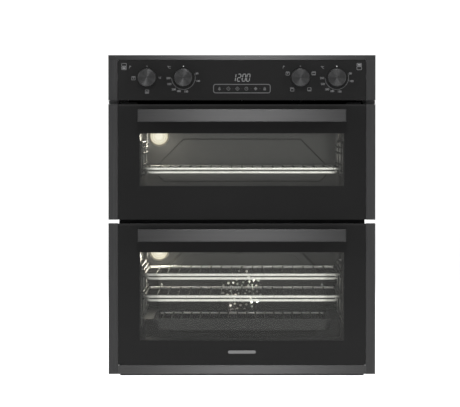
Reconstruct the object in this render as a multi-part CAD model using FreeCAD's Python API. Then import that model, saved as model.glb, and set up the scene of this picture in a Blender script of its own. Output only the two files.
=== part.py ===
"""Built-under double wall oven: a small top oven and a tall fan oven below it, in one steel chassis.

Frame: millimetres, +Z up, the front faces -Y, +X is to the right of someone facing the oven.
The origin is the centre of the base, midway between the handles' faces and the rear cover.
Every solid is one physical piece; each node is written to parts/NODE.step.
"""

import FreeCAD, Part
import math
import os

V = FreeCAD.Vector

# ---------------------------------------------------------------- driving dimensions
OVERALL_W = 594.0          # trims, left to right
OVERALL_H = 715.0          # base to top trim
Y_HANDLE = -305.0          # front of the handle bars
Y_FRONT = -262.0           # front of the doors' trims
Y_REAR = 305.0             # rear cover
HALF_W = OVERALL_W / 2

TRIM_W = 20.6              # width of each side trim
TRIM_D = 20.0              # how far a trim returns backwards
TRIM_T = 1.5
TOP_BAR_H = 10.4
GLASS_T = 4.0
GLASS_HALF = 275.7
Y_GLASS = -261.4           # outer face of the door glass

FASCIA_Z0 = 614.4          # underside of the control panel
UPPER_DOOR_Z0, UPPER_DOOR_Z1 = 349.0, 606.1
LOWER_DOOR_Z0, LOWER_DOOR_Z1 = 4.9, 340.8
BOTTOM_BAR_H = 19.8

FRAME_HALF = 274.5         # enamelled front frame
Y_FRAME = -222.0           # its face
FRAME_T = 2.0
FRAME_TOP = 600.0
OPEN_HALF = 228.0          # cavity mouths
UPPER_OPEN = (391.0, 573.0)
LOWER_OPEN = (50.0, 305.0)

CAV_HALF = 235.0           # inside of the enamelled liners
UPPER_CAV = (388.0, 576.0)
LOWER_CAV = (46.0, 309.0)
UPPER_CAV_BACK = 200.0
LOWER_CAV_BACK = 205.0
SHEET = 1.5                # sheet thickness

PIVOT_Y = -250.0           # door hinge axis
PIVOT_UP = 18.0            # above the door's bottom edge
HINGE_X = 259.0
PIN_R = 3.0

HANDLE_HALF = 230.5
HANDLE_H = 28.0
HANDLE_T = 8.0
HANDLE_DROP = 11.4         # top of the handle below the door's top edge
POST_X = 205.0

KNOB_X = (-211.0, -130.0, 130.0, 211.0)
KNOB_Z = 665.0
KNOB_R = 20.0
KNOB_OUT = 18.0            # how far a knob stands out of the fascia

RAIL_R = 2.25
RAIL_X = 222.2
RACK_X = 226.5
RAIL_PAIR = 13.4
UPPER_RAILS = (456.5, 495.2)
LOWER_RAILS = (119.9, 169.1, 218.3)
SHELF_LIFT = 5.0           # shelf wire centre above its rail's centre
SHELF_X = 219.8
SHELF_Y = (-203.0, 155.0)
SHELF_R = 3.0

FAN_Z = 167.7
FAN_COVER_Y = 165.0
LAMP_X = -197.0
UPPER_LAMP_Z = 532.5
LOWER_LAMP_Z = 259.3

nodes = {}


# ---------------------------------------------------------------- helpers
def box(x0, x1, y0, y1, z0, z1):
    return Part.makeBox(x1 - x0, y1 - y0, z1 - z0, V(x0, y0, z0))


def cyl(r, p, q):
    d = V(*q) - V(*p)
    return Part.makeCylinder(r, d.Length, V(*p), d)


def fuse(parts):
    out = parts[0].multiFuse(parts[1:]) if len(parts) > 1 else parts[0]
    return out.removeSplitter()


def mirror_x(s):
    return s.mirror(V(0, 0, 0), V(1, 0, 0))


def prism(points, axis, a, b):
    """Closed polygon pulled along an axis from a to b. Points are the other two coordinates in X, Y, Z order."""
    if axis == "x":
        pts = [V(a, p[0], p[1]) for p in points]
        d = V(b - a, 0, 0)
    elif axis == "y":
        pts = [V(p[0], a, p[1]) for p in points]
        d = V(0, b - a, 0)
    else:
        pts = [V(p[0], p[1], a) for p in points]
        d = V(0, 0, b - a)
    return Part.Face(Part.makePolygon(pts + [pts[0]])).extrude(d)


def path_wire(points, bend, closed=False):
    """Straight runs joined by tangent arcs."""
    pts = [V(*p) for p in points]
    n = len(pts)
    corner = []
    idx = range(n) if closed else range(1, n - 1)
    for i in idx:
        a, b, c = pts[i - 1], pts[i], pts[(i + 1) % n]
        u, w = (a - b).normalize(), (c - b).normalize()
        ang = u.getAngle(w)
        turn = math.pi - ang
        t = bend * math.tan(turn / 2)
        p1, p2 = b + u * t, b + w * t
        mid_dir = (u + w).normalize()
        dist = bend / math.cos(turn / 2) - bend
        corner.append((p1, b + mid_dir * dist, p2))
    edges = []
    if closed:
        for k, (p1, m, p2) in enumerate(corner):
            edges.append(Part.Arc(p1, m, p2).toShape())
            nxt = corner[(k + 1) % n][0]
            edges.append(Part.LineSegment(p2, nxt).toShape())
    else:
        cur = pts[0]
        for p1, m, p2 in corner:
            edges.append(Part.LineSegment(cur, p1).toShape())
            edges.append(Part.Arc(p1, m, p2).toShape())
            cur = p2
        edges.append(Part.LineSegment(cur, pts[-1]).toShape())
    return Part.Wire(edges)


def tube(points, r, bend, closed=False):
    """Round bar along straight runs and tangent arcs."""
    w = path_wire(points, bend, closed)
    if closed:
        # sweep each half and join them, so the ring closes cleanly
        e = w.Edges
        h = len(e) // 2
        return fuse([sweep_edges(e[:h], r), sweep_edges(e[h:], r)])
    return sweep_edges(w.Edges, r)


def sweep_edges(edges, r):
    w = Part.Wire(edges)
    e = w.OrderedEdges[0]
    p0 = w.OrderedVertexes[0].Point
    a, b = e.ParameterRange
    pa, pb = e.valueAt(a), e.valueAt(b)
    if (pa - p0).Length < 1e-6:
        d = e.tangentAt(a)
    else:
        d = e.tangentAt(b) * -1
    c = Part.Wire([Part.Circle(p0, d, r).toShape()])
    s = w.makePipeShell([c], True, False)
    if s.Volume < 0:
        s.reverse()
    return s


def rounded_box(x0, x1, y0, y1, z0, z1, r, axis):
    """Box with its four edges along an axis rounded."""
    b = box(x0, x1, y0, y1, z0, z1)
    want = {"x": V(1, 0, 0), "y": V(0, 1, 0), "z": V(0, 0, 1)}[axis]
    es = [e for e in b.Edges if abs(abs(e.tangentAt(e.FirstParameter).dot(want)) - 1) < 1e-6]
    return b.makeFillet(r, es)


def fillet_where(s, r, test):
    es = [e for e in s.Edges if test(e)]
    return s.makeFillet(r, es) if es else s


def put(name, *solids):
    """Stores a node as one or more separate solids."""
    out = []
    for s in solids:
        out += s.Solids if s.Solids else [s]
    for s in out:
        if not s.isValid():
            s.fix(1e-5, 1e-5, 1e-4)
        if not s.isValid() or s.Volume <= 0:
            print("CHECK", name, s.isValid(), s.Volume)
    nodes[name] = Part.makeCompound(out) if len(out) > 1 else out[0]


# ---------------------------------------------------------------- chassis
def chassis():
    # base tray, with a front lip that shows as a thin strip under the lower door
    base = box(-272.5, 272.5, -220, 262, 0, SHEET)
    lip = rounded_box(-272.5, 272.5, -238, -220, 0, 3.5, 5, "z")
    lip = lip.common(box(-300, 300, -238, -222, -1, 5))
    lipjoin = box(-272.5, 272.5, -222, -220, 0, SHEET)
    walls = [box(-271, -269.5, -200, 258, 0, 22), box(269.5, 271, -200, 258, 0, 22)]
    stiff = [box(-200, 200, y, y + 30, 0, 6) for y in (-120, 0, 120)]
    inner = [box(-198.5, 198.5, y + 1.5, y + 28.5, -1, 4.5) for y in (-120, 0, 120)]
    base = fuse([base, lip, lipjoin] + walls + stiff)
    for b in inner:
        base = base.cut(b)
    put("base_pan", base)

    # side panels with a bank of louvres near the top
    side = box(272.5, 274.0, -219.8, 263.3, 1.7, 699.8)
    for k in range(9):
        y = -40 + k * 22
        side = side.cut(box(270, 276, y, y + 6, 612, 668))
    for k in range(6):
        z = 120 + k * 14
        side = side.cut(box(270, 276, 150, 215, z, z + 4))
    flange = box(262.0, 272.5, 261.8, 263.3, 24.0, 699.8)
    top_fl = box(262.0, 272.5, -200, 261.8, 698.3, 699.8)
    side = fuse([side, flange, top_fl])
    put("side_panels", side, mirror_x(side))

    # top cover
    top = box(-274, 274, -206, 265, 700.0, 701.5)
    for k in range(14):
        x = -130 + k * 20
        top = top.cut(rounded_box(x - 3, x + 3, 95, 215, 699, 703, 2.9, "z"))
    rib = [box(-240, 240, y, y + 20, 701.5, 704.0) for y in (-150, -60, 20)]
    top = fuse([top] + rib)
    put("top_panel", top)

    # rear panel: opening behind the fan motor, louvres, connection area
    rear = box(-274, 274, 263.5, 265.0, 1.7, 699.8)
    rear = rear.cut(box(-120, 120, 262, 266, 90, 250))
    for k in range(8):
        rear = rear.cut(box(-90 + k * 22, -84 + k * 22, 262, 266, 560, 600))
    # lamp access holes
    for z in (UPPER_LAMP_Z, LOWER_LAMP_Z):
        rear = rear.cut(cyl(17, (LAMP_X, 262, z), (LAMP_X, 266, z)))
    rear = rear.cut(cyl(7.5, (182, 262, 648), (182, 266, 648)))
    put("rear_panel", rear)

    # bulged cover over the fan motor
    outer = rounded_box(-150, 150, 265.0, Y_REAR, 70, 290, 12, "y")
    outer = fillet_where(outer, 6, lambda e: e.BoundBox.YMin > Y_REAR - 0.01)
    hollow = rounded_box(-148.5, 148.5, 264.0, Y_REAR - SHEET, 71.5, 288.5, 10.5, "y")
    hollow = fillet_where(hollow, 4.5, lambda e: e.BoundBox.YMin > Y_REAR - SHEET - 0.01)
    cover = outer.cut(hollow)
    fl = rounded_box(-164, 164, 265.0, 266.2, 56, 304, 10, "y").cut(
        rounded_box(-149, 149, 264, 268, 71, 289, 11, "y")
    )
    cover = fuse([cover, fl])
    for k in range(11):
        x = -110 + k * 22
        cover = cover.cut(rounded_box(x - 3, x + 3, 290, 310, 110, 180, 2.9, "y"))
        cover = cover.cut(rounded_box(x - 3, x + 3, 290, 310, 195, 250, 2.9, "y"))
    put("rear_fan_cover", cover)

    # enamelled front frame with the two cavity mouths
    fr = box(-FRAME_HALF, FRAME_HALF, Y_FRAME, Y_FRAME + FRAME_T, 1.8, FRAME_TOP)
    for z0, z1 in (UPPER_OPEN, LOWER_OPEN):
        fr = fr.cut(rounded_box(-OPEN_HALF, OPEN_HALF, Y_FRAME - 1, Y_FRAME + 4, z0, z1, 14, "y"))
    for zb in (UPPER_DOOR_Z0, LOWER_DOOR_Z0):
        zh = zb + PIVOT_UP
        for s in (-1, 1):
            xa, xb = sorted((s * 254.5, s * 263.5))
            fr = fr.cut(box(xa, xb, Y_FRAME - 1, Y_FRAME + 4, zh - 9, zh + 9))
    put("front_frame", fr)

    # cabinet fixing brackets, one each side, behind the top of the upper door
    br = box(274.0, 295.5, -224.0, Y_FRAME, 548, 640)
    br = fuse([br, box(274.0, 275.5, Y_FRAME, -180, 548, 640)])
    # a nose on each bracket closes the gap between the panel trim and the door trim
    br = fuse([br, box(277.0, 297.0, -240.0, -223.5, 606.8, 613.8)])
    for z in (566.0, 598.0):
        br = br.cut(cyl(2.6, (285, -230, z), (285, -215, z)))
    br = br.cut(box(274.0, FRAME_HALF + 0.2, -223.0, Y_FRAME + FRAME_T + 0.2, 540, FRAME_TOP + 0.2))
    put("fixing_brackets", br, mirror_x(br))


# ---------------------------------------------------------------- cavities
def octagon(top_half, top_z, mid_half, mid_z1, mid_z0, low_half, low_z):
    return [
        (-top_half, top_z), (top_half, top_z), (mid_half, mid_z1), (mid_half, mid_z0),
        (low_half, low_z), (-low_half, low_z), (-mid_half, mid_z0), (-mid_half, mid_z1),
    ]


UPPER_EMBOSS = octagon(140, 527, 200, 466, 437, 186, 424)
FAN_COVER_SHAPE = octagon(132, 270, 202, 200, 96, 172, 66)


def liner(z0, z1, back, emboss):
    t = SHEET
    y0 = Y_FRAME + FRAME_T
    outer = rounded_box(-CAV_HALF - t, CAV_HALF + t, y0, back + t, z0 - t, z1 + t, 18 + t, "y")
    outer = fillet_where(outer, 14, lambda e: e.BoundBox.YMin > back + t - 0.01)
    inner = rounded_box(-CAV_HALF, CAV_HALF, y0 - 1, back, z0, z1, 18, "y")
    inner = fillet_where(inner, 12.5, lambda e: e.BoundBox.YMin > back - 0.01)
    s = outer.cut(inner)
    fl = rounded_box(-CAV_HALF - 9, CAV_HALF + 9, y0, y0 + t, z0 - 5, z1 + 5, 20, "y").cut(
        rounded_box(-CAV_HALF - 0.5, CAV_HALF + 0.5, y0 - 1, y0 + 4, z0 - 0.5, z1 + 0.5, 18.5, "y")
    )
    s = fuse([s, fl])
    if emboss:
        em = prism(emboss, "y", back - 3.0, back + 0.2)
        em = em.makeChamfer(2.6, [e for e in em.Edges if e.BoundBox.YMax < back - 2.99])
        s = fuse([s, em])
    return s


def cavities():
    up = liner(UPPER_CAV[0], UPPER_CAV[1], UPPER_CAV_BACK, UPPER_EMBOSS)
    up = up.cut(cyl(24.2, (LAMP_X, 190, UPPER_LAMP_Z), (LAMP_X, 210, UPPER_LAMP_Z)))
    for x in (-25, 25):
        up = up.cut(cyl(4.4, (x, 190, 560), (x, 210, 560)))
    put("upper_cavity_liner", up)

    lo = liner(LOWER_CAV[0], LOWER_CAV[1], LOWER_CAV_BACK, None)
    lo = lo.cut(cyl(24.2, (LAMP_X, 195, LOWER_LAMP_Z), (LAMP_X, 215, LOWER_LAMP_Z)))
    lo = lo.cut(cyl(9, (0, 195, FAN_Z), (0, 215, FAN_Z)))
    for x in (-12, 12):
        lo = lo.cut(cyl(4.2, (x, 195, FAN_Z + 84), (x, 215, FAN_Z + 84)))
    # pressed ribs in the floor
    for x in (-150, -75, 0, 75, 150):
        rib = rounded_box(x - 9, x + 9, -170, 120, LOWER_CAV[0] - 0.2, LOWER_CAV[0] + 2.2, 8.9, "z")
        lo = fuse([lo, rib])
    put("lower_cavity_liner", lo)

    # mineral wool jackets around the liners
    def wool(z0, z1, inner0, inner1, back):
        o = box(-262, 262, -160, back + 20, z0, z1)
        i = box(-237.2, 237.2, -161, back + 2.2, inner0, inner1)
        return o.cut(i)

    u = wool(364, 596, 379.5, 578.2, UPPER_CAV_BACK)
    u = u.cut(cyl(32, (LAMP_X, 190, UPPER_LAMP_Z), (LAMP_X, 240, UPPER_LAMP_Z)))
    u = u.cut(box(-45, 45, 190, 240, 550, 570)).cut(box(-45, 45, 190, 240, 379, 392))
    l = wool(26, 330, 43.8, 311.2, LOWER_CAV_BACK)
    l = l.cut(cyl(32, (LAMP_X, 190, LOWER_LAMP_Z), (LAMP_X, 240, LOWER_LAMP_Z)))
    l = l.cut(box(-50, 50, 190, 240, 118, 262))
    put("oven_insulation", u, l)

    # lamps on the back walls, upper left of each oven
    holders, bulbs, lenses = [], [], []
    for back, z in ((UPPER_CAV_BACK, UPPER_LAMP_Z), (LOWER_CAV_BACK, LOWER_LAMP_Z)):
        h = cyl(26.5, (LAMP_X, back + 1.7, z), (LAMP_X, back + 3.4, z))
        h = fuse([h, cyl(23.8, (LAMP_X, back - 0.8, z), (LAMP_X, back + 34, z))])
        h = h.cut(cyl(20.5, (LAMP_X, back - 2, z), (LAMP_X, back + 31, z)))
        h = fuse([h, cyl(11, (LAMP_X, back + 33.8, z), (LAMP_X, back + 52, z))])
        h = h.cut(cyl(6.0, (LAMP_X, back + 30, z), (LAMP_X, back + 50, z)))
        holders.append(h)
        b = cyl(5.9, (LAMP_X, back + 22, z), (LAMP_X, back + 49.8, z))
        b = fuse([b, Part.makeSphere(9, V(LAMP_X, back + 17, z))])
        bulbs.append(b)
        # pressed glass lens: a shallow dome with a rim
        dome = Part.makeSphere(30, V(LAMP_X, back + 19.0, z)).common(
            cyl(21.4, (LAMP_X, back - 14, z), (LAMP_X, back - 1.0, z))
        )
        inner = Part.makeSphere(27.8, V(LAMP_X, back + 19.0, z))
        dome = dome.cut(inner)
        rim = cyl(23.6, (LAMP_X, back - 3.4, z), (LAMP_X, back - 1.0, z)).cut(
            cyl(18.4, (LAMP_X, back - 5, z), (LAMP_X, back, z))
        )
        lenses.append(fuse([dome, rim]))
    put("lamp_holders", *holders)
    put("lamp_bulbs", *bulbs)
    put("lamp_lenses", *lenses)


# ---------------------------------------------------------------- heating and fans
def heating():
    r = 3.25
    pts = [
        (-25, 222, 560), (-25, -150, 560), (-100, -150, 560), (-100, 100, 560), (-190, 100, 560),
        (-190, -185, 560), (190, -185, 560), (190, 100, 560), (100, 100, 560), (100, -150, 560),
        (25, -150, 560), (25, 222, 560),
    ]
    grill = tube(pts, r, 22)
    # ceiling clips carry it
    clips = [box(-194, -186, y, y + 2, 560, UPPER_CAV[1]) for y in (-120, 40)]
    clips += [box(186, 194, y, y + 2, 560, UPPER_CAV[1]) for y in (-120, 40)]
    grill = fuse([grill] + clips)
    z = 383.2
    pts = [
        (-25, 238, z), (-25, 90, z), (-180, 90, z), (-180, -140, z), (-90, -140, z), (-90, 30, z),
        (90, 30, z), (90, -140, z), (180, -140, z), (180, 90, z), (25, 90, z), (25, 238, z),
    ]
    bottom = tube(pts, 3.0, 20)
    put("upper_grill_element", grill)
    put("upper_base_element", bottom)

    ring = Part.makeTorus(84, 3.3, V(0, 186, FAN_Z), V(0, 1, 0))
    legs = [cyl(2.9, (x, 186, FAN_Z + math.sqrt(84 ** 2 - x * x)), (x, 226, FAN_Z + math.sqrt(84 ** 2 - x * x))) for x in (-12, 12)]
    ring2 = Part.makeTorus(71, 3.3, V(0, 186, FAN_Z), V(0, 1, 0))
    link = box(-6, 6, 184, 188, FAN_Z - 82, FAN_Z - 73)
    put("fan_ring_element", fuse([ring] + legs + [ring2, link]))

    # circulation fan: hub, disc and blades on the motor's shaft
    hub = cyl(11, (0, 172, FAN_Z), (0, 196, FAN_Z))
    disc = cyl(60, (0, 196, FAN_Z), (0, 197.5, FAN_Z))
    shaft = cyl(4.0, (0, 196, FAN_Z), (0, 236, FAN_Z))
    blades = []
    n = 10
    for k in range(n):
        b = box(14, 59, 178, 196.2, -0.8, 0.8)
        b.rotate(V(0, 0, 0), V(0, 1, 0), -14)
        b.translate(V(-3, 0, 0))
        b.rotate(V(0, 0, 0), V(0, 1, 0), 360.0 * k / n)
        b.translate(V(0, 0, FAN_Z))
        blades.append(b)
    put("circulation_fan_wheel", fuse([hub, disc, shaft] + blades))

    motor = cyl(33, (0, 224, FAN_Z), (0, 284, FAN_Z))
    motor = fillet_where(motor, 4, lambda e: e.BoundBox.YMin > 283.9)
    nose = cyl(14, (0, 214, FAN_Z), (0, 224.2, FAN_Z))
    plate = rounded_box(-46, 46, 222.0, 224.2, FAN_Z - 40, FAN_Z + 40, 8, "y")
    motor = fuse([motor, nose, plate])
    motor = motor.cut(cyl(4.06, (0, 200, FAN_Z), (0, 240, FAN_Z)))
    legs = [cyl(3, (x, 206.5, z), (x, 222, z)) for x in (-38, 38) for z in (FAN_Z - 32, FAN_Z + 32)]
    motor = fuse([motor] + legs)
    put("circulation_fan_motor", motor)

    # baffle over the fan: a shallow octagonal pan with suction holes and side outlets
    t = 1.2
    y0, y1 = FAN_COVER_Y, LOWER_CAV_BACK
    pan = prism(FAN_COVER_SHAPE, "y", y0, y1)
    pan = pan.makeChamfer(5.0, [e for e in pan.Edges if e.BoundBox.YMax < y0 + 0.01])
    sc = octagon(132 - 0.6, 270 - t, 202 - t, 200 - 0.6, 96 + 0.6, 172 - 0.6, 66 + t)
    inner = prism(sc, "y", y0 + t, y1 + 1)
    inner = inner.makeChamfer(4.6, [e for e in inner.Edges if e.BoundBox.YMax < y0 + t + 0.01])
    pan = pan.cut(inner)
    # raised inner panel line
    step = prism(octagon(118, 256, 188, 192, 104, 160, 78), "y", y0 - 1.6, y0 + 0.1)
    step = step.makeChamfer(1.4, [e for e in step.Edges if e.BoundBox.YMax < y0 - 1.5])
    recess = prism(octagon(117, 255, 187, 191.6, 104.4, 159, 79), "y", y0 - 0.5, y0 + t + 0.2)
    pan = fuse([pan, step]).cut(recess.common(box(-300, 300, y0 - 0.3, y0 + t + 0.3, 0, 400)))
    # suction holes, in swirling arms
    holes = []
    arms = 8
    for ring_i, (rad, hr) in enumerate(((11, 2.0), (18.5, 2.6), (27, 2.7), (36, 2.8), (45.5, 2.8))):
        count = arms if ring_i < 2 else arms * 2
        for k in range(count):
            a = 2 * math.pi * k / count + ring_i * 0.16
            x, z = rad * math.sin(a), FAN_Z + rad * math.cos(a)
            holes.append(cyl(hr, (x, y0 - 4, z), (x, y0 + 4, z)))
    pan = pan.cut(Part.makeCompound(holes))
    # outlet slots in the sloping and vertical sides
    slots = []
    for k in range(5):
        z = 108 + k * 18
        slots.append(box(195, 210, y0 + 12, y0 + 30, z, z + 9))
        slots.append(box(-210, -195, y0 + 12, y0 + 30, z, z + 9))
    for k in range(9):
        x = -100 + k * 25
        slots.append(box(x - 7, x + 7, y0 + 12, y0 + 30, 262, 276))
    pan = pan.cut(Part.makeCompound(slots))
    put("fan_cover", pan)

    # cross-flow cooling blower above the upper oven, blowing forwards through a flat duct
    cy, cz, rr = 150.0, 648.0, 32.0
    outer = box(-135, 135, cy - 45, cy + 45, cz - 45, cz + 45)
    outer = outer.makeFillet(20, [e for e in outer.Edges if abs(abs(e.tangentAt(e.FirstParameter).x) - 1) < 1e-6 and e.BoundBox.YMin > cy])
    inner = box(-133.5, 133.5, cy - 43.5, cy + 43.5, cz - 43.5, cz + 43.5)
    inner = inner.makeFillet(18.5, [e for e in inner.Edges if abs(abs(e.tangentAt(e.FirstParameter).x) - 1) < 1e-6 and e.BoundBox.YMin > cy])
    duct_o = prism([(cy - 44, 603), (cy - 44, 640), (-120, 617), (-206, 617), (-206, 603)], "x", -200, 200)
    duct_i = prism([(cy - 40, 604.5), (cy - 40, 638.3), (-119.7, 615.5), (-210, 615.5), (-210, 604.5)], "x", -198.5, 198.5)
    body = fuse([outer, duct_o])
    body = body.cut(fuse([inner, duct_i]))
    for k in range(8):
        x = -105 + k * 30
        body = body.cut(box(x - 9, x + 9, cy - 25, cy + 25, cz + 40, cz + 50))
    body = body.cut(cyl(5.0, (130, cy, cz), (140, cy, cz)))
    body = body.cut(cyl(5.0, (-140, cy, cz), (-130, cy, cz)))
    # foot straps to the top cover
    straps = [box(x, x + 20, cy + 44.5, cy + 46.0, cz - 20, 699.9) for x in (-120, 100)]
    body = fuse([body] + straps)
    put("cooling_fan_housing", body)

    cage = [cyl(rr, (x, cy, cz), (x + 1.5, cy, cz)) for x in (-120, -1, 118)]
    for k in range(18):
        a = 2 * math.pi * k / 18
        y, z = cy + (rr - 3.5) * math.cos(a), cz + (rr - 3.5) * math.sin(a)
        b = box(-120, 119.5, -3.2, 3.2, -0.6, 0.6)
        b.rotate(V(0, 0, 0), V(1, 0, 0), math.degrees(a) + 62)
        b.translate(V(0, y, z))
        cage.append(b)
    cage.append(cyl(3.0, (-141, cy, cz), (-119, cy, cz)))
    cage.append(cyl(3.0, (118, cy, cz), (160, cy, cz)))
    put("cooling_fan_wheel", fuse(cage))

    m = cyl(26, (142, cy, cz), (182, cy, cz)).cut(cyl(3.06, (141, cy, cz), (165, cy, cz)))
    brk = box(139.0, 142.2, cy - 30, cy + 30, cz - 34, cz + 34).cut(cyl(8, (130, cy, cz), (145, cy, cz)))
    arms_ = [box(135.0, 139.2, cy - 30, cy - 22, cz - 34, cz + 34), box(135.0, 139.2, cy + 22, cy + 30, cz - 34, cz + 34)]
    put("cooling_fan_motor", fuse([m, brk] + arms_))


# ---------------------------------------------------------------- control panel
def control_panel():
    z0, z1 = FASCIA_Z0, OVERALL_H
    # brushed trim: top bar and two side columns in one piece, open at the back
    trim = box(-HALF_W, HALF_W, Y_FRONT, Y_FRONT + TRIM_D, z0, z1)
    trim = fillet_where(trim, 1.4, lambda e: e.BoundBox.YMax < Y_FRONT + 0.01 and not (e.BoundBox.ZMax < z0 + 0.01))
    trim = trim.cut(box(-HALF_W + TRIM_W, HALF_W - TRIM_W, Y_FRONT - 5, Y_FRONT + 40, z0 - 5, z1 - TOP_BAR_H))
    hollow = fuse([
        box(-HALF_W + TRIM_T, -HALF_W + TRIM_W - TRIM_T, Y_FRONT + TRIM_T, Y_FRONT + 40, z0 + TRIM_T, z1 - TRIM_T),
        box(HALF_W - TRIM_W + TRIM_T, HALF_W - TRIM_T, Y_FRONT + TRIM_T, Y_FRONT + 40, z0 + TRIM_T, z1 - TRIM_T),
        box(-HALF_W + TRIM_T, HALF_W - TRIM_T, Y_FRONT + TRIM_T, Y_FRONT + 40, z1 - TOP_BAR_H + TRIM_T, z1 - TRIM_T),
    ])
    put("panel_trim", trim.cut(hollow))

    # black glass fascia
    fa = box(-GLASS_HALF, GLASS_HALF, Y_GLASS, Y_GLASS + 3.0, z0 + 0.4, z1 - TOP_BAR_H - 0.6)
    for x in KNOB_X:
        fa = fa.cut(cyl(KNOB_R + 0.5, (x, -270, KNOB_Z), (x, -250, KNOB_Z)))
    put("fascia_glass", fa)

    # moulded carrier behind the glass
    ya = Y_GLASS + 3.0
    ca = box(-272, 272, ya, -228, z0 + 1.5, z1 - TOP_BAR_H - 2.5)
    ca = ca.cut(box(-269.5, 269.5, ya + 3.0, -220, z0 + 4.0, z1 - TOP_BAR_H - 5.0))
    for x in KNOB_X:
        ca = ca.cut(cyl(KNOB_R + 1.2, (x, -270, KNOB_Z), (x, -250, KNOB_Z)))
    ca = ca.cut(box(-58, 58, -262, -250, 634, 696))
    ribs = [box(x - 1, x + 1, ya + 2.9, -232, z0 + 3.9, z1 - TOP_BAR_H - 4.9) for x in (-240, -170, -90, 90, 170, 240)]
    tabs = []
    for s in (-1, 1):
        xa, xb = sorted((s * 230.0, s * 250.0))
        tabs.append(box(xa, xb, -228.5, -206.2, z1 - TOP_BAR_H - 5.0, z1 - TOP_BAR_H - 2.5))
    put("panel_carrier", fuse([ca] + ribs + tabs))

    # clock and touch-key module behind the middle of the glass
    ck = box(-56, 56, ya + 0.2, -238, 636, 694)
    pins = [box(-40, -10, -238, -230, 645, 652), box(10, 40, -238, -230, 645, 652)]
    put("clock_module", fuse([ck] + pins))

    # selector switches and thermostats: a ceramic/plastic body on a bridge plate
    switches = []
    for x in KNOB_X:
        b = rounded_box(x - 22, x + 22, -237, -206, KNOB_Z - 22, KNOB_Z + 22, 4, "y")
        stem = cyl(7.5, (x, -238.6, KNOB_Z), (x, -236.9, KNOB_Z))
        b = fuse([b, stem])
        b = b.cut(cyl(3.06, (x, -245, KNOB_Z), (x, -217, KNOB_Z)))
        for k in range(3):
            b = fuse([b, box(x - 14 + 10 * k, x - 8 + 10 * k, -206.1, -197, KNOB_Z - 15, KNOB_Z - 14.2)])
        switches.append(b)
    put("control_switches", *switches)

    bridge = box(-262, 262, -205.8, -204.3, 640, 690)
    for x in KNOB_X:
        bridge = bridge.cut(box(x - 18, x + 18, -210, -200, KNOB_Z - 19, KNOB_Z + 19))
    up = box(-262, 262, -205.8, -180, 690, 691.5)
    ends = [box(s * 262 if s < 0 else 260.5, -260.5 if s < 0 else 262, -205.8, -180, 640, 690) for s in (-1, 1)]
    put("switch_bridge", fuse([bridge, up] + ends))

    # spindle and knob at each control
    for name, x in zip(("main_function", "main_temperature", "top_function", "top_temperature"), KNOB_X):
        sp = cyl(PIN_R, (x, -261.0, KNOB_Z), (x, -219, KNOB_Z))
        sp = sp.cut(box(x - 5, x + 5, -262, -241, KNOB_Z + 1.9, KNOB_Z + 6))
        kf = Y_GLASS - KNOB_OUT
        kb = cyl(KNOB_R, (x, kf, KNOB_Z), (x, Y_GLASS + 4.4, KNOB_Z))
        kb = fillet_where(kb, 1.6, lambda e: e.BoundBox.YMax < kf + 0.01)
        # shallow dished face
        kb = cut_dish(kb, x, kf)
        # hollow back with a central boss, which takes the spindle
        kb = kb.cut(cyl(KNOB_R - 2.2, (x, kf + 5, KNOB_Z), (x, Y_GLASS + 5, KNOB_Z)))
        boss = cyl(6.0, (x, kf + 1.8, KNOB_Z), (x, Y_GLASS + 4.4, KNOB_Z))
        kb = fuse([kb, boss])
        bore = cyl(PIN_R + 0.06, (x, kf + 2.8, KNOB_Z), (x, Y_GLASS + 6, KNOB_Z))
        bore = bore.cut(box(x - 5, x + 5, kf, Y_GLASS + 8, KNOB_Z + 1.96, KNOB_Z + 6))
        kb = kb.cut(bore)
        # two grooves that frame the pointer at the top of the face, and run back along the rim
        for a in (-9, 9):
            g = box(-0.45, 0.45, kf - 1, kf + 0.7, 13.2, KNOB_R + 1)
            h = box(-0.45, 0.45, kf - 1, kf + 8, KNOB_R - 0.6, KNOB_R + 1)
            g = fuse([g, h])
            g.rotate(V(0, 0, 0), V(0, 1, 0), a)
            g.translate(V(x, 0, KNOB_Z))
            kb = kb.cut(g)
        put(name + "_knob", kb, sp)

    # vent trim between the panel and the upper door, with a raised lobe at each end
    vt = box(-268, 268, Y_FRAME, Y_FRAME + 10, FRAME_TOP + 0.2, 602.8)
    lobe = prism([(265.6, 602.5), (265.6, 610.4), (236.6, 610.4), (230.5, 604.5), (230.5, 602.5)], "y", Y_FRAME, Y_FRAME + 8)
    put("vent_trim", fuse([vt, lobe, mirror_x(lobe)]))


def cut_dish(s, x, kf):
    """A very shallow conical dish, 0.5 mm deep, in a knob's face."""
    cone = Part.makeCone(16.5, 0.5, 0.55, V(x, kf - 0.001, KNOB_Z), V(0, 1, 0))
    return s.cut(cone)


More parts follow.
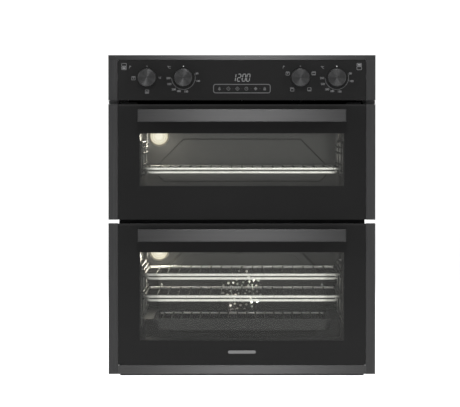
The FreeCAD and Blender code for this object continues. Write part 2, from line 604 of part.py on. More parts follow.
# ---------------------------------------------------------------- doors
def door(prefix, z0, z1, bottom_bar):
    zh = z0 + PIVOT_UP
    # side trims: pressed box sections, open at the back
    t = box(HALF_W - TRIM_W, HALF_W, Y_FRONT, Y_FRONT + TRIM_D, z0, z1)
    t = fillet_where(t, 1.4, lambda e: e.BoundBox.YMax < Y_FRONT + 0.01 and e.BoundBox.XMin > HALF_W - 0.01)
    t = t.cut(box(HALF_W - TRIM_W + TRIM_T, HALF_W - TRIM_T, Y_FRONT + TRIM_T, Y_FRONT + 40, z0 + TRIM_T, z1 - TRIM_T))
    put(prefix + "_side_trims", t, mirror_x(t))

    zg = z0 + (BOTTOM_BAR_H + 0.4 if bottom_bar else 0.3)
    g = box(-GLASS_HALF, GLASS_HALF, Y_GLASS, Y_GLASS + GLASS_T, zg, z1 - 0.3)
    for s in (-1, 1):
        zc = z1 - HANDLE_DROP - HANDLE_H / 2
        g = g.cut(cyl(3.1, (s * POST_X, -270, zc), (s * POST_X, -250, zc)))
    put(prefix + "_outer_glass", g)

    if bottom_bar:
        b = box(-HALF_W + TRIM_W + 0.3, HALF_W - TRIM_W - 0.3, Y_FRONT, Y_FRONT + 16, z0, z0 + BOTTOM_BAR_H)
        b = fillet_where(b, 1.2, lambda e: e.BoundBox.YMax < Y_FRONT + 0.01 and e.BoundBox.ZMax < z0 + 0.01)
        b = b.cut(box(-400, 400, Y_FRONT + TRIM_T, Y_FRONT + 40, z0 + TRIM_T, z0 + 60))
        # notches that clear the fixed hinge arms when the door is down
        for s in (-1, 1):
            b = b.cut(box(s * HINGE_X - 7, s * HINGE_X + 7, Y_FRONT + 4, Y_FRONT + 40, z0 - 1, z0 + 8))
        put(prefix + "_bottom_trim", b)

    # hinge channels: box columns with the back left open at the foot, each with its pivot pin
    yb, yf = -226.0, Y_GLASS + GLASS_T + 0.2
    xi, xo = 250.0, 268.0
    top = z1 - 3.0
    c = box(xi, xo, yf, yb, zh - 12, top)
    c = c.cut(box(xi + 1.5, xo - 1.5, yf + 1.5, yb - 1.5, zh - 20, top - 1.5))
    c = c.cut(box(xi + 1.5, xo - 1.5, yf + 1.5, yb + 5, zh - 20, zh + 16))
    # round the foot of the channel about the pivot, so that it swings clear of the frame
    c = c.cut(box(xi - 1, xo + 1, PIVOT_Y, yb + 5, zh - 20, zh + 6).cut(
        cyl(26.0, (xi - 2, PIVOT_Y, zh), (xo + 2, PIVOT_Y, zh))))
    c = c.cut(cyl(PIN_R, (xi - 2, PIVOT_Y, zh), (xo + 2, PIVOT_Y, zh)))
    pin = cyl(PIN_R, (xi - 0.2, PIVOT_Y, zh), (xo + 0.8, PIVOT_Y, zh))
    put(prefix + "_hinge_channels", c, mirror_x(c), pin, mirror_x(pin))

    # inner glass, held between the channels
    ig = rounded_box(-249.6, 249.6, -232.0, -228.0, zh + 10.5, z1 - 12, 4, "y")
    put(prefix + "_inner_glass", ig)

    # top profile: channel with air slots, between the columns
    tp = box(-249.6, 249.6, yf, -226.2, z1 - 11.8, z1 - 1.0)
    tp = tp.cut(box(-248.1, 248.1, yf + 1.5, -227.7, z1 - 13, z1 - 2.5))
    for k in range(12):
        x = -220 + k * 40
        tp = tp.cut(rounded_box(x - 12, x + 12, -248, -240, z1 - 4, z1, 3.9, "z"))
    # bottom profile between the columns
    bp = box(-249.6, 249.6, yf, -234.0, z0 + 3.0, z0 + 18.0)
    bp = bp.cut(box(-248.1, 248.1, yf + 1.5, -235.5, z0 + 4.5, z0 + 30))
    rest = [box(x - 8, x + 8, -235.6, -228.0, z0 + 16.5, z0 + 18.0) for x in (-200, 0, 200)]
    rest += [box(x - 8, x + 8, -235.5, -234.0, z0 + 16.5, zh + 14) for x in (-200, 0, 200)]
    put(prefix + "_profiles", tp, fuse([bp] + rest))

    # handle: flat bar on two posts, bolted through the glass
    hz1 = z1 - HANDLE_DROP
    hz0 = hz1 - HANDLE_H
    h = box(-HANDLE_HALF, HANDLE_HALF, Y_HANDLE, Y_HANDLE + HANDLE_T, hz0, hz1)
    h = fillet_where(h, 1.5, lambda e: e.BoundBox.YMax < Y_HANDLE + 0.01 or e.BoundBox.YMin > Y_HANDLE + HANDLE_T - 0.01)
    put(prefix + "_handle_bar", h)
    zc = (hz0 + hz1) / 2
    posts = []
    for s in (-1, 1):
        p = rounded_box(s * POST_X - 9, s * POST_X + 9, Y_HANDLE + HANDLE_T, Y_GLASS, zc - 10, zc + 10, 4, "y")
        p = fuse([p, cyl(3.0, (s * POST_X, Y_GLASS - 0.1, zc), (s * POST_X, Y_GLASS + GLASS_T + 8, zc))])
        p = fuse([p, cyl(7.0, (s * POST_X, Y_GLASS + GLASS_T + 1.0, zc), (s * POST_X, Y_GLASS + GLASS_T + 5, zc))])
        posts.append(p)
    put(prefix + "_handle_posts", *posts)


def hinge_arms():
    out = []
    for z0 in (UPPER_DOOR_Z0, LOWER_DOOR_Z0):
        zh = z0 + PIVOT_UP
        a = prism([(PIVOT_Y, zh - 5), (-212, zh - 5), (-205, zh - 8), (-172, zh - 8), (-172, zh + 12), (-205, zh + 12), (-212, zh + 5), (PIVOT_Y, zh + 5)], "x", HINGE_X - 1.5, HINGE_X + 1.5)
        boss = cyl(5.4, (HINGE_X - 1.5, PIVOT_Y, zh), (HINGE_X + 1.5, PIVOT_Y, zh))
        fl = box(HINGE_X - 1.5, 272.3, -219.8, -217.3, zh - 15, zh + 20)
        web = box(269.8, 272.3, -219.8, -172, zh - 15, zh + 20)
        a = fuse([a, boss, fl, web, box(HINGE_X + 1.4, 269.9, -176, -174, zh - 8, zh + 12)])
        a = a.cut(cyl(PIN_R + 0.06, (HINGE_X - 5, PIVOT_Y, zh), (HINGE_X + 5, PIVOT_Y, zh)))
        if z0 < 100:  # stays above the base tray's rim
            a = a.cut(box(269.0, 271.3, -201, -150, 0, 22.3))
        out += [a, mirror_x(a)]
    put("hinge_arms", *out)


def gaskets():
    out = []
    for (z0, z1) in (UPPER_OPEN, LOWER_OPEN):
        x, a, b = 240.0, z0 - 7.0, z1 + 7.0
        y = Y_FRAME - 2.8
        pts = [(-x, y, a), (x, y, a), (x, y, b), (-x, y, b)]
        out.append(tube(pts, 2.8, 16, closed=True))
    put("door_gaskets", *out)


# ---------------------------------------------------------------- racks, shelves, pan
def side_rack(rails, z_lo, z_hi, s):
    """Ladder of welded wires on one side wall; s is -1 on the left and 1 on the right."""
    ya, yb = -188.0, 148.0
    x = s * RACK_X
    parts = [tube([(x, ya, z_lo), (x, yb, z_lo), (x, yb, z_hi), (x, ya, z_hi)], RAIL_R, 7, closed=True)]
    parts.append(cyl(RAIL_R - 0.05, (x, -20, z_lo), (x, -20, z_hi)))
    for z in rails:
        for dz in (0, RAIL_PAIR):
            r = cyl(RAIL_R, (s * RAIL_X, ya - 6, z + dz), (s * RAIL_X, yb + 3, z + dz))
            parts.append(r)
    for y in (-160, 120):
        for z in (z_lo, z_hi):
            parts.append(cyl(2.6, (x, y, z), (s * (CAV_HALF - 0.02), y, z)))
    return fuse(parts)


def shelf(zc):
    x, (ya, yb), r = SHELF_X, SHELF_Y, SHELF_R
    parts = [tube([(-x, ya, zc), (x, ya, zc), (x, yb, zc), (-x, yb, zc)], r, 11, closed=True)]
    # lower front bar, turned up to the side wires
    lo = zc - 8.4
    parts.append(tube([(-212.5, ya + 16, zc), (-212.5, ya + 1.5, lo), (212.5, ya + 1.5, lo), (212.5, ya + 16, zc)], 2.9, 7))
    parts.append(cyl(2.6, (-x, ya + 16, zc), (-211, ya + 16, zc)))
    parts.append(cyl(2.6, (x, ya + 16, zc), (211, ya + 16, zc)))
    # cross bar and grid wires
    parts.append(cyl(2.4, (-x, ya + 38, zc - 1.2), (x, ya + 38, zc - 1.2)))
    n = 17
    for k in range(n):
        xx = -192 + 24.0 * k
        parts.append(cyl(1.45, (xx, ya + 1, zc + 1.0), (xx, yb, zc + 1.0)))
    return fuse(parts)


def racks_and_shelves():
    put("upper_side_racks", *[side_rack(UPPER_RAILS, 445.0, 520.5, s) for s in (-1, 1)])
    put("lower_side_racks", *[side_rack(LOWER_RAILS, 104.0, 241.0, s) for s in (-1, 1)])
    put("upper_wire_shelf", shelf(UPPER_RAILS[0] + SHELF_LIFT))
    put("main_top_wire_shelf", shelf(LOWER_RAILS[2] + SHELF_LIFT))
    put("main_middle_wire_shelf", shelf(LOWER_RAILS[1] + SHELF_LIFT))

    # grill pan on the lowest rails: wide rim, tapered walls
    zr = LOWER_RAILS[0] + RAIL_R + 0.35
    t = 1.2
    def loop(xh, y0, y1, z, r):
        """Rectangle with faceted round corners."""
        pts = []
        for cx, cy, a0 in ((xh - r, y0 + r, -90), (xh - r, y1 - r, 0), (-xh + r, y1 - r, 90), (-xh + r, y0 + r, 180)):
            for k in range(7):
                a = math.radians(a0 + 15 * k)
                pts.append(V(cx + r * math.cos(a), cy + r * math.sin(a), z))
        return pts

    def taper(lo, hi):
        """Solid between two parallel loops."""
        n = len(lo)
        faces = [Part.Face(Part.makePolygon(lo + [lo[0]])), Part.Face(Part.makePolygon(hi + [hi[0]]))]
        for k in range(n):
            m = (k + 1) % n
            faces.append(Part.Face(Part.makePolygon([lo[k], lo[m], hi[m], hi[k], lo[k]])))
        s = Part.makeSolid(Part.makeShell(faces))
        if s.Volume < 0:
            s.reverse()
        return s

    zb = 97.7
    body = taper(loop(196.5, -185.5, 133.5, zb, 14), loop(201.5, -190, 138, zr + t, 14))
    hole = taper(loop(195.3, -184.3, 132.3, zb + t, 13), loop(200.5, -189, 137, zr + t + 1, 13))
    plate = taper(loop(222.6, -204, 152, zr, 14), loop(222.6, -204, 152, zr + t, 14))
    put("grill_pan", plate.fuse(body).cut(hole))

    # trivet inside the pan: a flat wire grid on four small feet, short of the pan's front wall
    zt = 115.5
    parts = [tube([(-196, -170, zt), (196, -170, zt), (196, 132, zt), (-196, 132, zt)], 2.3, 14, closed=True)]
    for k in range(18):
        xx = -181.9 + 21.4 * k
        parts.append(cyl(1.6, (xx, -171.0, zt + 2.8), (xx, 132.6, zt + 2.8)))
    parts.append(cyl(2.0, (-196, -110, zt), (196, -110, zt)))
    feet = []
    for x in (-181.9, 181.9):
        feet.append(cyl(3.0, (x, -110, zb + t + 0.02), (x, -110, zt - 2.02)))
        feet.append(cyl(3.0, (x, 100, zb + t + 0.02), (x, 100, zt + 2.8 - 1.62)))
    put("grill_pan_trivet", fuse(parts), *feet)


def connection():
    b = box(150, 214, 234, 263.4, 640, 690)
    b = b.cut(box(153, 211, 230, 260, 655, 687))
    posts = [cyl(4, (162 + 13 * k, 250, 655), (162 + 13 * k, 250, 664)) for k in range(4)]
    b = fuse([b] + posts)
    b = b.cut(cyl(6.2, (182, 230, 648), (182, 270, 648)))
    put("terminal_block", b)
    nut = prism([(182 + 13 * math.cos(math.radians(60 * k)), 648 + 13 * math.sin(math.radians(60 * k))) for k in range(6)], "y", 265.2, 272)
    nut = fuse([nut, cyl(10, (182, 272, 648), (182, 279, 648))])
    nut = nut.cut(cyl(5, (182, 260, 648), (182, 282, 648)))
    put("cable_gland", nut)


chassis()
cavities()
heating()
control_panel()
door("upper_door", UPPER_DOOR_Z0, UPPER_DOOR_Z1, False)
door("lower_door", LOWER_DOOR_Z0, LOWER_DOOR_Z1, True)
hinge_arms()
gaskets()
racks_and_shelves()
connection()

os.makedirs("parts", exist_ok=True)
for old in os.listdir("parts"):
    if old.endswith(".step"):
        os.remove(os.path.join("parts", old))
for name, shape in nodes.items():
    shape.exportStep(os.path.join("parts", name + ".step"))
print(len(nodes), "nodes")
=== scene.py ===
import math

import bmesh
import bpy
from mathutils import Matrix, Vector


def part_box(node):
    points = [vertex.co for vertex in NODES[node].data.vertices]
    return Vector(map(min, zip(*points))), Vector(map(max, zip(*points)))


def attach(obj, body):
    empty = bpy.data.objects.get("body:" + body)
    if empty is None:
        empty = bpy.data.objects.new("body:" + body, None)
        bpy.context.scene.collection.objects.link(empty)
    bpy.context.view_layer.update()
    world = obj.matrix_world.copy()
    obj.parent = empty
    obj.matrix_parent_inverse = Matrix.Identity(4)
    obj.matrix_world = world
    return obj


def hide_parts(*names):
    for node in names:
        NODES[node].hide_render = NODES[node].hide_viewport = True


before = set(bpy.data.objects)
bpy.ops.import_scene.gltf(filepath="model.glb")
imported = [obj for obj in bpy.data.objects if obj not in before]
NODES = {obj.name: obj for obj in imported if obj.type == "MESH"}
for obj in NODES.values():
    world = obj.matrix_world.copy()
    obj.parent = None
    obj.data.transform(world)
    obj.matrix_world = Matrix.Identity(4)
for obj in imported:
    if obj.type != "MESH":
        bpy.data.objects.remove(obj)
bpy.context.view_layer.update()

MM = 0.001
SCENE = bpy.context.scene

# ------------------------------------------------------------------ places taken from the frame
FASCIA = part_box("fascia_glass")
UP_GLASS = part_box("upper_door_outer_glass")
LO_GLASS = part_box("lower_door_outer_glass")
UP_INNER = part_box("upper_door_inner_glass")
LO_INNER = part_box("lower_door_inner_glass")
KNOB_NODES = ("main_function_knob", "main_temperature_knob", "top_function_knob", "top_temperature_knob")
KNOB_X = [(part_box(n)[0].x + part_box(n)[1].x) / 2 for n in KNOB_NODES]
KNOB_Z = (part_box(KNOB_NODES[0])[0].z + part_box(KNOB_NODES[0])[1].z) / 2
FACE_Y = FASCIA[0].y


# ------------------------------------------------------------------ material helpers
class Nodes:
    """Short calls for building a node tree."""

    def __init__(self, name):
        self.m = bpy.data.materials.new(name)
        self.m.use_nodes = True
        self.t = self.m.node_tree
        self.bsdf = self.t.nodes["Principled BSDF"]
        self.out = self.t.nodes["Material Output"]
        self.tc = self.t.nodes.new("ShaderNodeTexCoord")

    def link(self, a, b):
        self.t.links.new(a, b)

    def set(self, **kw):
        for k, v in kw.items():
            self.bsdf.inputs[k.replace("_", " ")].default_value = v
        return self

    def mapping(self, scale=(1, 1, 1), loc=(0, 0, 0), rot=(0, 0, 0), source="Object"):
        n = self.t.nodes.new("ShaderNodeMapping")
        n.inputs["Scale"].default_value = scale
        n.inputs["Location"].default_value = loc
        n.inputs["Rotation"].default_value = rot
        self.link(self.tc.outputs[source], n.inputs["Vector"])
        return n.outputs["Vector"]

    def noise(self, scale, detail=3.0, rough=0.5, vec=None, distortion=0.0):
        n = self.t.nodes.new("ShaderNodeTexNoise")
        n.inputs["Scale"].default_value = scale
        n.inputs["Detail"].default_value = detail
        n.inputs["Roughness"].default_value = rough
        n.inputs["Distortion"].default_value = distortion
        self.link(vec if vec is not None else self.tc.outputs["Object"], n.inputs["Vector"])
        return n.outputs["Fac"]

    def voronoi(self, scale, vec=None, feature="F1", out="Distance", randomness=1.0):
        n = self.t.nodes.new("ShaderNodeTexVoronoi")
        n.feature = feature
        n.inputs["Scale"].default_value = scale
        n.inputs["Randomness"].default_value = randomness
        self.link(vec if vec is not None else self.tc.outputs["Object"], n.inputs["Vector"])
        return n.outputs[out]

    def ramp(self, fac, stops, interpolation="LINEAR"):
        n = self.t.nodes.new("ShaderNodeValToRGB")
        n.color_ramp.interpolation = interpolation
        els = n.color_ramp.elements
        els[0].position, els[0].color = stops[0][0], col(stops[0][1])
        els[1].position, els[1].color = stops[-1][0], col(stops[-1][1])
        for p, c in stops[1:-1]:
            e = els.new(p)
            e.color = col(c)
        self.link(fac, n.inputs["Fac"])
        return n.outputs["Color"]

    def range(self, fac, a, b, lo=0.0, hi=1.0):
        n = self.t.nodes.new("ShaderNodeMapRange")
        n.inputs["From Min"].default_value = lo
        n.inputs["From Max"].default_value = hi
        n.inputs["To Min"].default_value = a
        n.inputs["To Max"].default_value = b
        self.link(fac, n.inputs["Value"])
        return n.outputs["Result"]

    def math(self, op, a, b=None, clamp=False):
        n = self.t.nodes.new("ShaderNodeMath")
        n.operation = op
        n.use_clamp = clamp
        for i, v in enumerate((a, b)):
            if v is None:
                continue
            if isinstance(v, (int, float)):
                n.inputs[i].default_value = v
            else:
                self.link(v, n.inputs[i])
        return n.outputs[0]

    def mix(self, fac, a, b, blend="MIX"):
        n = self.t.nodes.new("ShaderNodeMix")
        n.data_type = "RGBA"
        n.blend_type = blend
        if isinstance(fac, (int, float)):
            n.inputs["Factor"].default_value = fac
        else:
            self.link(fac, n.inputs["Factor"])
        for v, name in ((a, 6), (b, 7)):
            if isinstance(v, tuple):
                n.inputs[name].default_value = col(v)
            else:
                self.link(v, n.inputs[name])
        return n.outputs[2]

    def bump(self, height, strength=0.2, distance=0.0005, normal=None):
        n = self.t.nodes.new("ShaderNodeBump")
        n.inputs["Strength"].default_value = strength
        n.inputs["Distance"].default_value = distance
        self.link(height, n.inputs["Height"])
        if normal is not None:
            self.link(normal, n.inputs["Normal"])
        return n.outputs["Normal"]

    def xyz(self, source="Object"):
        n = self.t.nodes.new("ShaderNodeSeparateXYZ")
        self.link(self.tc.outputs[source], n.inputs[0])
        return n.outputs

    def to(self, **kw):
        for k, v in kw.items():
            self.link(v, self.bsdf.inputs[k.replace("_", " ")])
        return self

    def tangent(self, axis):
        n = self.t.nodes.new("ShaderNodeTangent")
        n.direction_type = "RADIAL"
        n.axis = axis
        self.link(n.outputs[0], self.bsdf.inputs["Tangent"])


def col(c):
    if isinstance(c, (int, float)):
        return (c, c, c, 1.0)
    return tuple(c) + (1.0,) if len(c) == 3 else tuple(c)


def lin(*rgb):
    """Screen levels 0-255 to scene colour."""
    out = []
    for v in rgb:
        v = v / 255.0
        out.append(v / 12.92 if v <= 0.04045 else ((v + 0.055) / 1.055) ** 2.4)
    return tuple(out) if len(out) == 3 else (out[0],) * 3


# ------------------------------------------------------------------ materials
def brushed(name, base, rough, along, aniso, streak=0.12, light=1.0):
    """Brushed steel: fine streaks along one axis in colour, roughness and bump."""
    n = Nodes(name)
    big = 6.0
    fine = {"x": (8, 900, 900), "z": (900, 900, 8)}[along]
    mid = {"x": (2.5, 160, 160), "z": (160, 160, 2.5)}[along]
    f = n.noise(1.0, 2.0, 0.6, n.mapping(fine))
    g = n.noise(1.0, 3.0, 0.6, n.mapping(mid))
    cloud = n.noise(big, 2.0, 0.5)
    s = n.math("ADD", n.math("MULTIPLY", f, 0.6), n.math("MULTIPLY", g, 0.4))
    lo = tuple(v * (1 - streak) for v in base)
    hi = tuple(v * (1 + streak) for v in base)
    c = n.ramp(s, [(0.3, lo), (0.7, hi)])
    c = n.mix(n.range(cloud, 0.0, 0.12, 0.35, 0.65), c, tuple(v * 0.75 for v in base))
    n.to(Base_Color=c, Roughness=n.range(s, rough - 0.025, rough + 0.03, 0.3, 0.7),
         Normal=n.bump(s, 0.08, 0.00010))
    n.set(Metallic=1.0, Anisotropic=aniso)
    n.tangent("X" if along == "x" else "Z")
    return n.m


def brushed_panel(name, across, upright, rough, edge_x, edge_z):
    """One brushed pressing: grain across on its top bar, up and down on its two uprights."""
    n = Nodes(name)
    x, y, z = n.xyz()
    side = n.math("MULTIPLY", n.math("GREATER_THAN", n.math("ABSOLUTE", x), edge_x), n.math("LESS_THAN", z, edge_z))
    fx = n.noise(1.0, 2.0, 0.6, n.mapping((8, 900, 900)))
    fz = n.noise(1.0, 2.0, 0.6, n.mapping((900, 900, 8)))
    sx = n.ramp(fx, [(0.3, tuple(v * 0.9 for v in across)), (0.7, tuple(v * 1.1 for v in across))])
    sz = n.ramp(fz, [(0.3, tuple(v * 0.88 for v in upright)), (0.7, tuple(v * 1.12 for v in upright))])
    f = n.t.nodes.new("ShaderNodeMix")
    f.data_type = "FLOAT"
    n.link(side, f.inputs["Factor"])
    n.link(fx, f.inputs[2])
    n.link(fz, f.inputs[3])
    tx, tz = n.t.nodes.new("ShaderNodeTangent"), n.t.nodes.new("ShaderNodeTangent")
    for t, a in ((tx, "X"), (tz, "Z")):
        t.direction_type = "RADIAL"
        t.axis = a
    tm = n.t.nodes.new("ShaderNodeMix")
    tm.data_type = "VECTOR"
    n.link(side, tm.inputs["Factor"])
    n.link(tx.outputs[0], tm.inputs[4])
    n.link(tz.outputs[0], tm.inputs[5])
    n.link(tm.outputs[1], n.bsdf.inputs["Tangent"])
    n.to(Base_Color=n.mix(side, sx, sz), Roughness=n.range(f.outputs[0], rough - 0.025, rough + 0.03, 0.3, 0.7),
         Normal=n.bump(f.outputs[0], 0.08, 0.0001))
    n.set(Metallic=1.0, Anisotropic=1.0)
    return n.m


def spun(name, base, rough):
    """Turned metal: fine rings about the piece's own Y axis, and wide soft wedges darker and lighter in colour:
    painted sheen in place of the highlights that light draws on spun metal.
    """
    n = Nodes(name)
    x, y, z = n.xyz("Generated")
    dx, dz = n.math("SUBTRACT", x, 0.5), n.math("SUBTRACT", z, 0.5)
    r = n.math("SQRT", n.math("ADD", n.math("MULTIPLY", dx, dx), n.math("MULTIPLY", dz, dz)))
    comb = n.t.nodes.new("ShaderNodeCombineXYZ")
    n.link(n.math("MULTIPLY", r, 260.0), comb.inputs[0])
    n.link(n.math("MULTIPLY", y, 3.0), comb.inputs[1])
    rings = n.noise(1.0, 2.0, 0.7, comb.outputs[0])
    ang = n.math("ARCTAN2", dz, dx)
    # painted sheen: wedges round the middle of the face, painted into the colour in place of real highlights
    fan = n.math("SINE", n.math("ADD", n.math("MULTIPLY", ang, 8.0), 1.2))
    fan2 = n.math("SINE", n.math("MULTIPLY", ang, 4.0))
    painted_sheen_wedges = n.math("ADD", n.math("MULTIPLY", fan, 0.35), n.math("MULTIPLY", fan2, 0.65))
    c = n.ramp(rings, [(0.3, tuple(v * 0.9 for v in base)), (0.7, tuple(v * 1.1 for v in base))])
    c = n.mix(n.range(painted_sheen_wedges, 0.0, 0.55, -1.0, 1.0), c, tuple(v * 0.40 for v in base))
    n.to(Base_Color=c, Roughness=n.range(rings, rough - 0.04, rough + 0.06, 0.3, 0.7),
         Normal=n.bump(rings, 0.25, 0.00008))
    n.set(Metallic=1.0, Anisotropic=0.6, Anisotropic_Rotation=0.25)
    n.tangent("Y")
    return n.m


def black_glass(name, base):
    """Gloss glass printed black behind: nearly black, with the faintest haze of dust and polish marks."""
    n = Nodes(name)
    dust = n.noise(900.0, 4.0, 0.7)
    haze = n.noise(5.0, 3.0, 0.6)
    c = n.ramp(n.math("ADD", n.math("MULTIPLY", dust, 0.4), n.math("MULTIPLY", haze, 0.6)),
               [(0.3, tuple(v * 0.90 for v in base)), (0.7, tuple(v * 1.12 for v in base))])
    n.to(Base_Color=c, Roughness=n.range(haze, 0.06, 0.13, 0.3, 0.7))
    n.set(IOR=1.45, Specular_IOR_Level=0.22)
    return n.m


def clear_glass(name, tint, gloss, edge):
    """Thin float glass: what is behind shows through, with a weak mirror image on top."""
    n = Nodes(name)
    tr = n.t.nodes.new("ShaderNodeBsdfTransparent")
    tr.inputs["Color"].default_value = col(tint)
    gl = n.t.nodes.new("ShaderNodeBsdfGlossy")
    gl.inputs["Color"].default_value = col(gloss)
    smear = n.noise(14.0, 4.0, 0.65)
    n.link(n.range(smear, 0.02, 0.09, 0.3, 0.7), gl.inputs["Roughness"])
    fr = n.t.nodes.new("ShaderNodeFresnel")
    fr.inputs["IOR"].default_value = 1.45
    mx = n.t.nodes.new("ShaderNodeMixShader")
    n.link(fr.outputs[0], mx.inputs[0])
    n.link(tr.outputs[0], mx.inputs[1])
    n.link(gl.outputs[0], mx.inputs[2])
    n.link(mx.outputs[0], n.out.inputs["Surface"])
    n.t.nodes.remove(n.bsdf)
    return n.m


def door_glass(name, node, window, tint, gloss, base):
    """Float glass printed black on its back except for a window. Window in mm: x half, z0, z1."""
    ob = NODES[node]
    bpy.context.view_layer.update()
    inv = ob.matrix_world.inverted()
    xh = window[0] * 0.001 + 0.0012
    z0 = (inv @ Vector((0, 0, window[1] * 0.001 - 0.0012))).z
    z1 = (inv @ Vector((0, 0, window[2] * 0.001 + 0.0012))).z
    top = (inv @ Vector((0, 0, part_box(node)[1].z - 0.0042))).z
    n = Nodes(name)
    x, y, z = n.xyz()
    win = n.math("MULTIPLY", n.math("LESS_THAN", n.math("ABSOLUTE", x), xh),
                 n.math("MULTIPLY", n.math("GREATER_THAN", z, z0), n.math("LESS_THAN", z, z1)))
    tr = n.t.nodes.new("ShaderNodeBsdfTransparent")
    tr.inputs["Color"].default_value = col(tint)
    gl = n.t.nodes.new("ShaderNodeBsdfGlossy")
    gl.inputs["Color"].default_value = col(gloss)
    smear = n.noise(14.0, 4.0, 0.65)
    n.link(n.range(smear, 0.02, 0.09, 0.3, 0.7), gl.inputs["Roughness"])
    fr = n.t.nodes.new("ShaderNodeFresnel")
    fr.inputs["IOR"].default_value = 1.45
    clear = n.t.nodes.new("ShaderNodeMixShader")
    n.link(fr.outputs[0], clear.inputs[0])
    n.link(tr.outputs[0], clear.inputs[1])
    n.link(gl.outputs[0], clear.inputs[2])
    dust = n.noise(900.0, 4.0, 0.7)
    haze = n.noise(5.0, 3.0, 0.6)
    c = n.ramp(n.math("ADD", n.math("MULTIPLY", dust, 0.4), n.math("MULTIPLY", haze, 0.6)),
               [(0.3, tuple(v * 0.92 for v in base)), (0.7, tuple(v * 1.08 for v in base))])
    # painted highlight: the top 4.2 mm of the glass is one and a half times lighter, in place of light caught by the
    # door's top edge
    c = n.mix(n.math("GREATER_THAN", z, top), c, tuple(v * 1.5 for v in base))
    n.to(Base_Color=c, Roughness=n.range(haze, 0.06, 0.13, 0.3, 0.7))
    n.set(IOR=1.45, Specular_IOR_Level=0.08)
    # painted light: a faint glow over the clear part, made with an emission, in place of room light scattered by dust
    # on the glass
    painted_haze_glow = n.t.nodes.new("ShaderNodeEmission")
    n.link(n.ramp(haze, [(0.3, (0.0125, 0.0125, 0.0122)), (0.7, (0.0150, 0.0150, 0.0146))]), painted_haze_glow.inputs["Color"])
    both = n.t.nodes.new("ShaderNodeAddShader")
    n.link(clear.outputs[0], both.inputs[0])
    n.link(painted_haze_glow.outputs[0], both.inputs[1])
    mx = n.t.nodes.new("ShaderNodeMixShader")
    n.link(win, mx.inputs[0])
    n.link(n.bsdf.outputs[0], mx.inputs[1])
    n.link(both.outputs[0], mx.inputs[2])
    n.link(mx.outputs[0], n.out.inputs["Surface"])
    return n.m


def enamel(name, base, speck, rough, speck_scale=1400.0, coat=0.6, gloss=0.5):
    """Vitreous enamel: glassy, very slightly rippled, with pale flecks."""
    n = Nodes(name)
    v = n.noise(speck_scale, 1.0, 0.5)
    flecks = n.range(v, 0.0, 1.0, 0.66, 0.72)
    v2 = n.noise(speck_scale * 0.37, 1.0, 0.5)
    flecks2 = n.range(v2, 0.0, 0.7, 0.70, 0.76)
    cloud = n.noise(9.0, 4.0, 0.6)
    c = n.ramp(cloud, [(0.3, tuple(x * 0.85 for x in base)), (0.7, tuple(x * 1.18 for x in base))])
    c = n.mix(n.math("MULTIPLY", n.math("ADD", flecks, flecks2, True), 0.55), c, speck)
    ripple = n.noise(70.0, 2.0, 0.5)
    n.to(Base_Color=c, Roughness=n.range(cloud, rough - 0.05, rough + 0.08, 0.3, 0.7),
         Normal=n.bump(ripple, 0.15, 0.0004))
    n.set(Coat_Weight=coat, Coat_Roughness=0.12, Specular_IOR_Level=gloss)
    return n.m


def chrome(name, base, rough=0.16, metallic=1.0, painted_shade_beyond=None):
    """Chromed or zinc-plated steel. Given a distance, it turns darker beyond that distance from the middle: painted
    shade where less light reaches the outer parts of a bar.
    """
    n = Nodes(name)
    a = n.noise(60.0, 4.0, 0.6)
    b = n.noise(700.0, 2.0, 0.6)
    c = n.ramp(a, [(0.3, tuple(v * 0.86 for v in base)), (0.7, base)])
    if painted_shade_beyond:
        x, y, z = n.xyz()
        # painted shade: darker colour towards the outer parts of the bar
        c = n.mix(n.range(n.math("ABSOLUTE", x), 0.0, 1.0, painted_shade_beyond - 0.004, painted_shade_beyond + 0.006), c, tuple(v * 0.62 for v in base))
    n.to(Base_Color=c, Roughness=n.range(b, rough - 0.06, rough + 0.1, 0.3, 0.7), Normal=n.bump(b, 0.05, 0.0001))
    n.set(Metallic=metallic)
    return n.m


def galvanised(name, base, scale=150.0):
    """Zinc-coated sheet with its spangle."""
    n = Nodes(name)
    cells = n.voronoi(scale, out="Color")
    sep = n.t.nodes.new("ShaderNodeSeparateColor")
    n.link(cells, sep.inputs[0])
    grain = n.noise(500.0, 3.0, 0.6)
    cloud = n.noise(4.0, 3.0, 0.6)
    c = n.ramp(sep.outputs[0], [(0.0, tuple(v * 0.91 for v in base)), (0.55, base), (1.0, tuple(min(1, v * 1.07) for v in base))])
    c = n.mix(n.range(grain, 0.0, 0.15, 0.4, 0.7), c, tuple(v * 0.6 for v in base))
    c = n.mix(n.range(cloud, 0.0, 0.2, 0.4, 0.7), c, tuple(v * 0.8 for v in base))
    n.to(Base_Color=c, Roughness=n.range(sep.outputs[1], 0.56, 0.64), Normal=n.bump(grain, 0.1, 0.0002))
    n.set(Metallic=0.9)
    return n.m


def element_metal(name):
    n = Nodes(name)
    a = n.noise(14.0, 4.0, 0.65)
    b = n.noise(800.0, 3.0, 0.6)
    c = n.ramp(a, [(0.25, (0.05, 0.045, 0.045)), (0.5, (0.12, 0.10, 0.09)), (0.72, (0.20, 0.145, 0.11)), (0.85, (0.16, 0.15, 0.17))])
    n.to(Base_Color=c, Roughness=n.range(b, 0.42, 0.62, 0.3, 0.7), Normal=n.bump(b, 0.25, 0.0002))
    n.set(Metallic=0.75)
    return n.m


def plastic(name, base, rough=0.5, grain=1500.0, strength=0.25, gloss=0.5):
    n = Nodes(name)
    g = n.voronoi(grain)
    cloud = n.noise(20.0, 3.0, 0.6)
    c = n.ramp(cloud, [(0.3, tuple(v * 0.88 for v in base)), (0.7, tuple(min(1, v * 1.12) for v in base))])
    n.to(Base_Color=c, Roughness=n.range(g, rough - 0.06, rough + 0.08), Normal=n.bump(g, strength, 0.0002))
    n.set(Specular_IOR_Level=gloss)
    return n.m


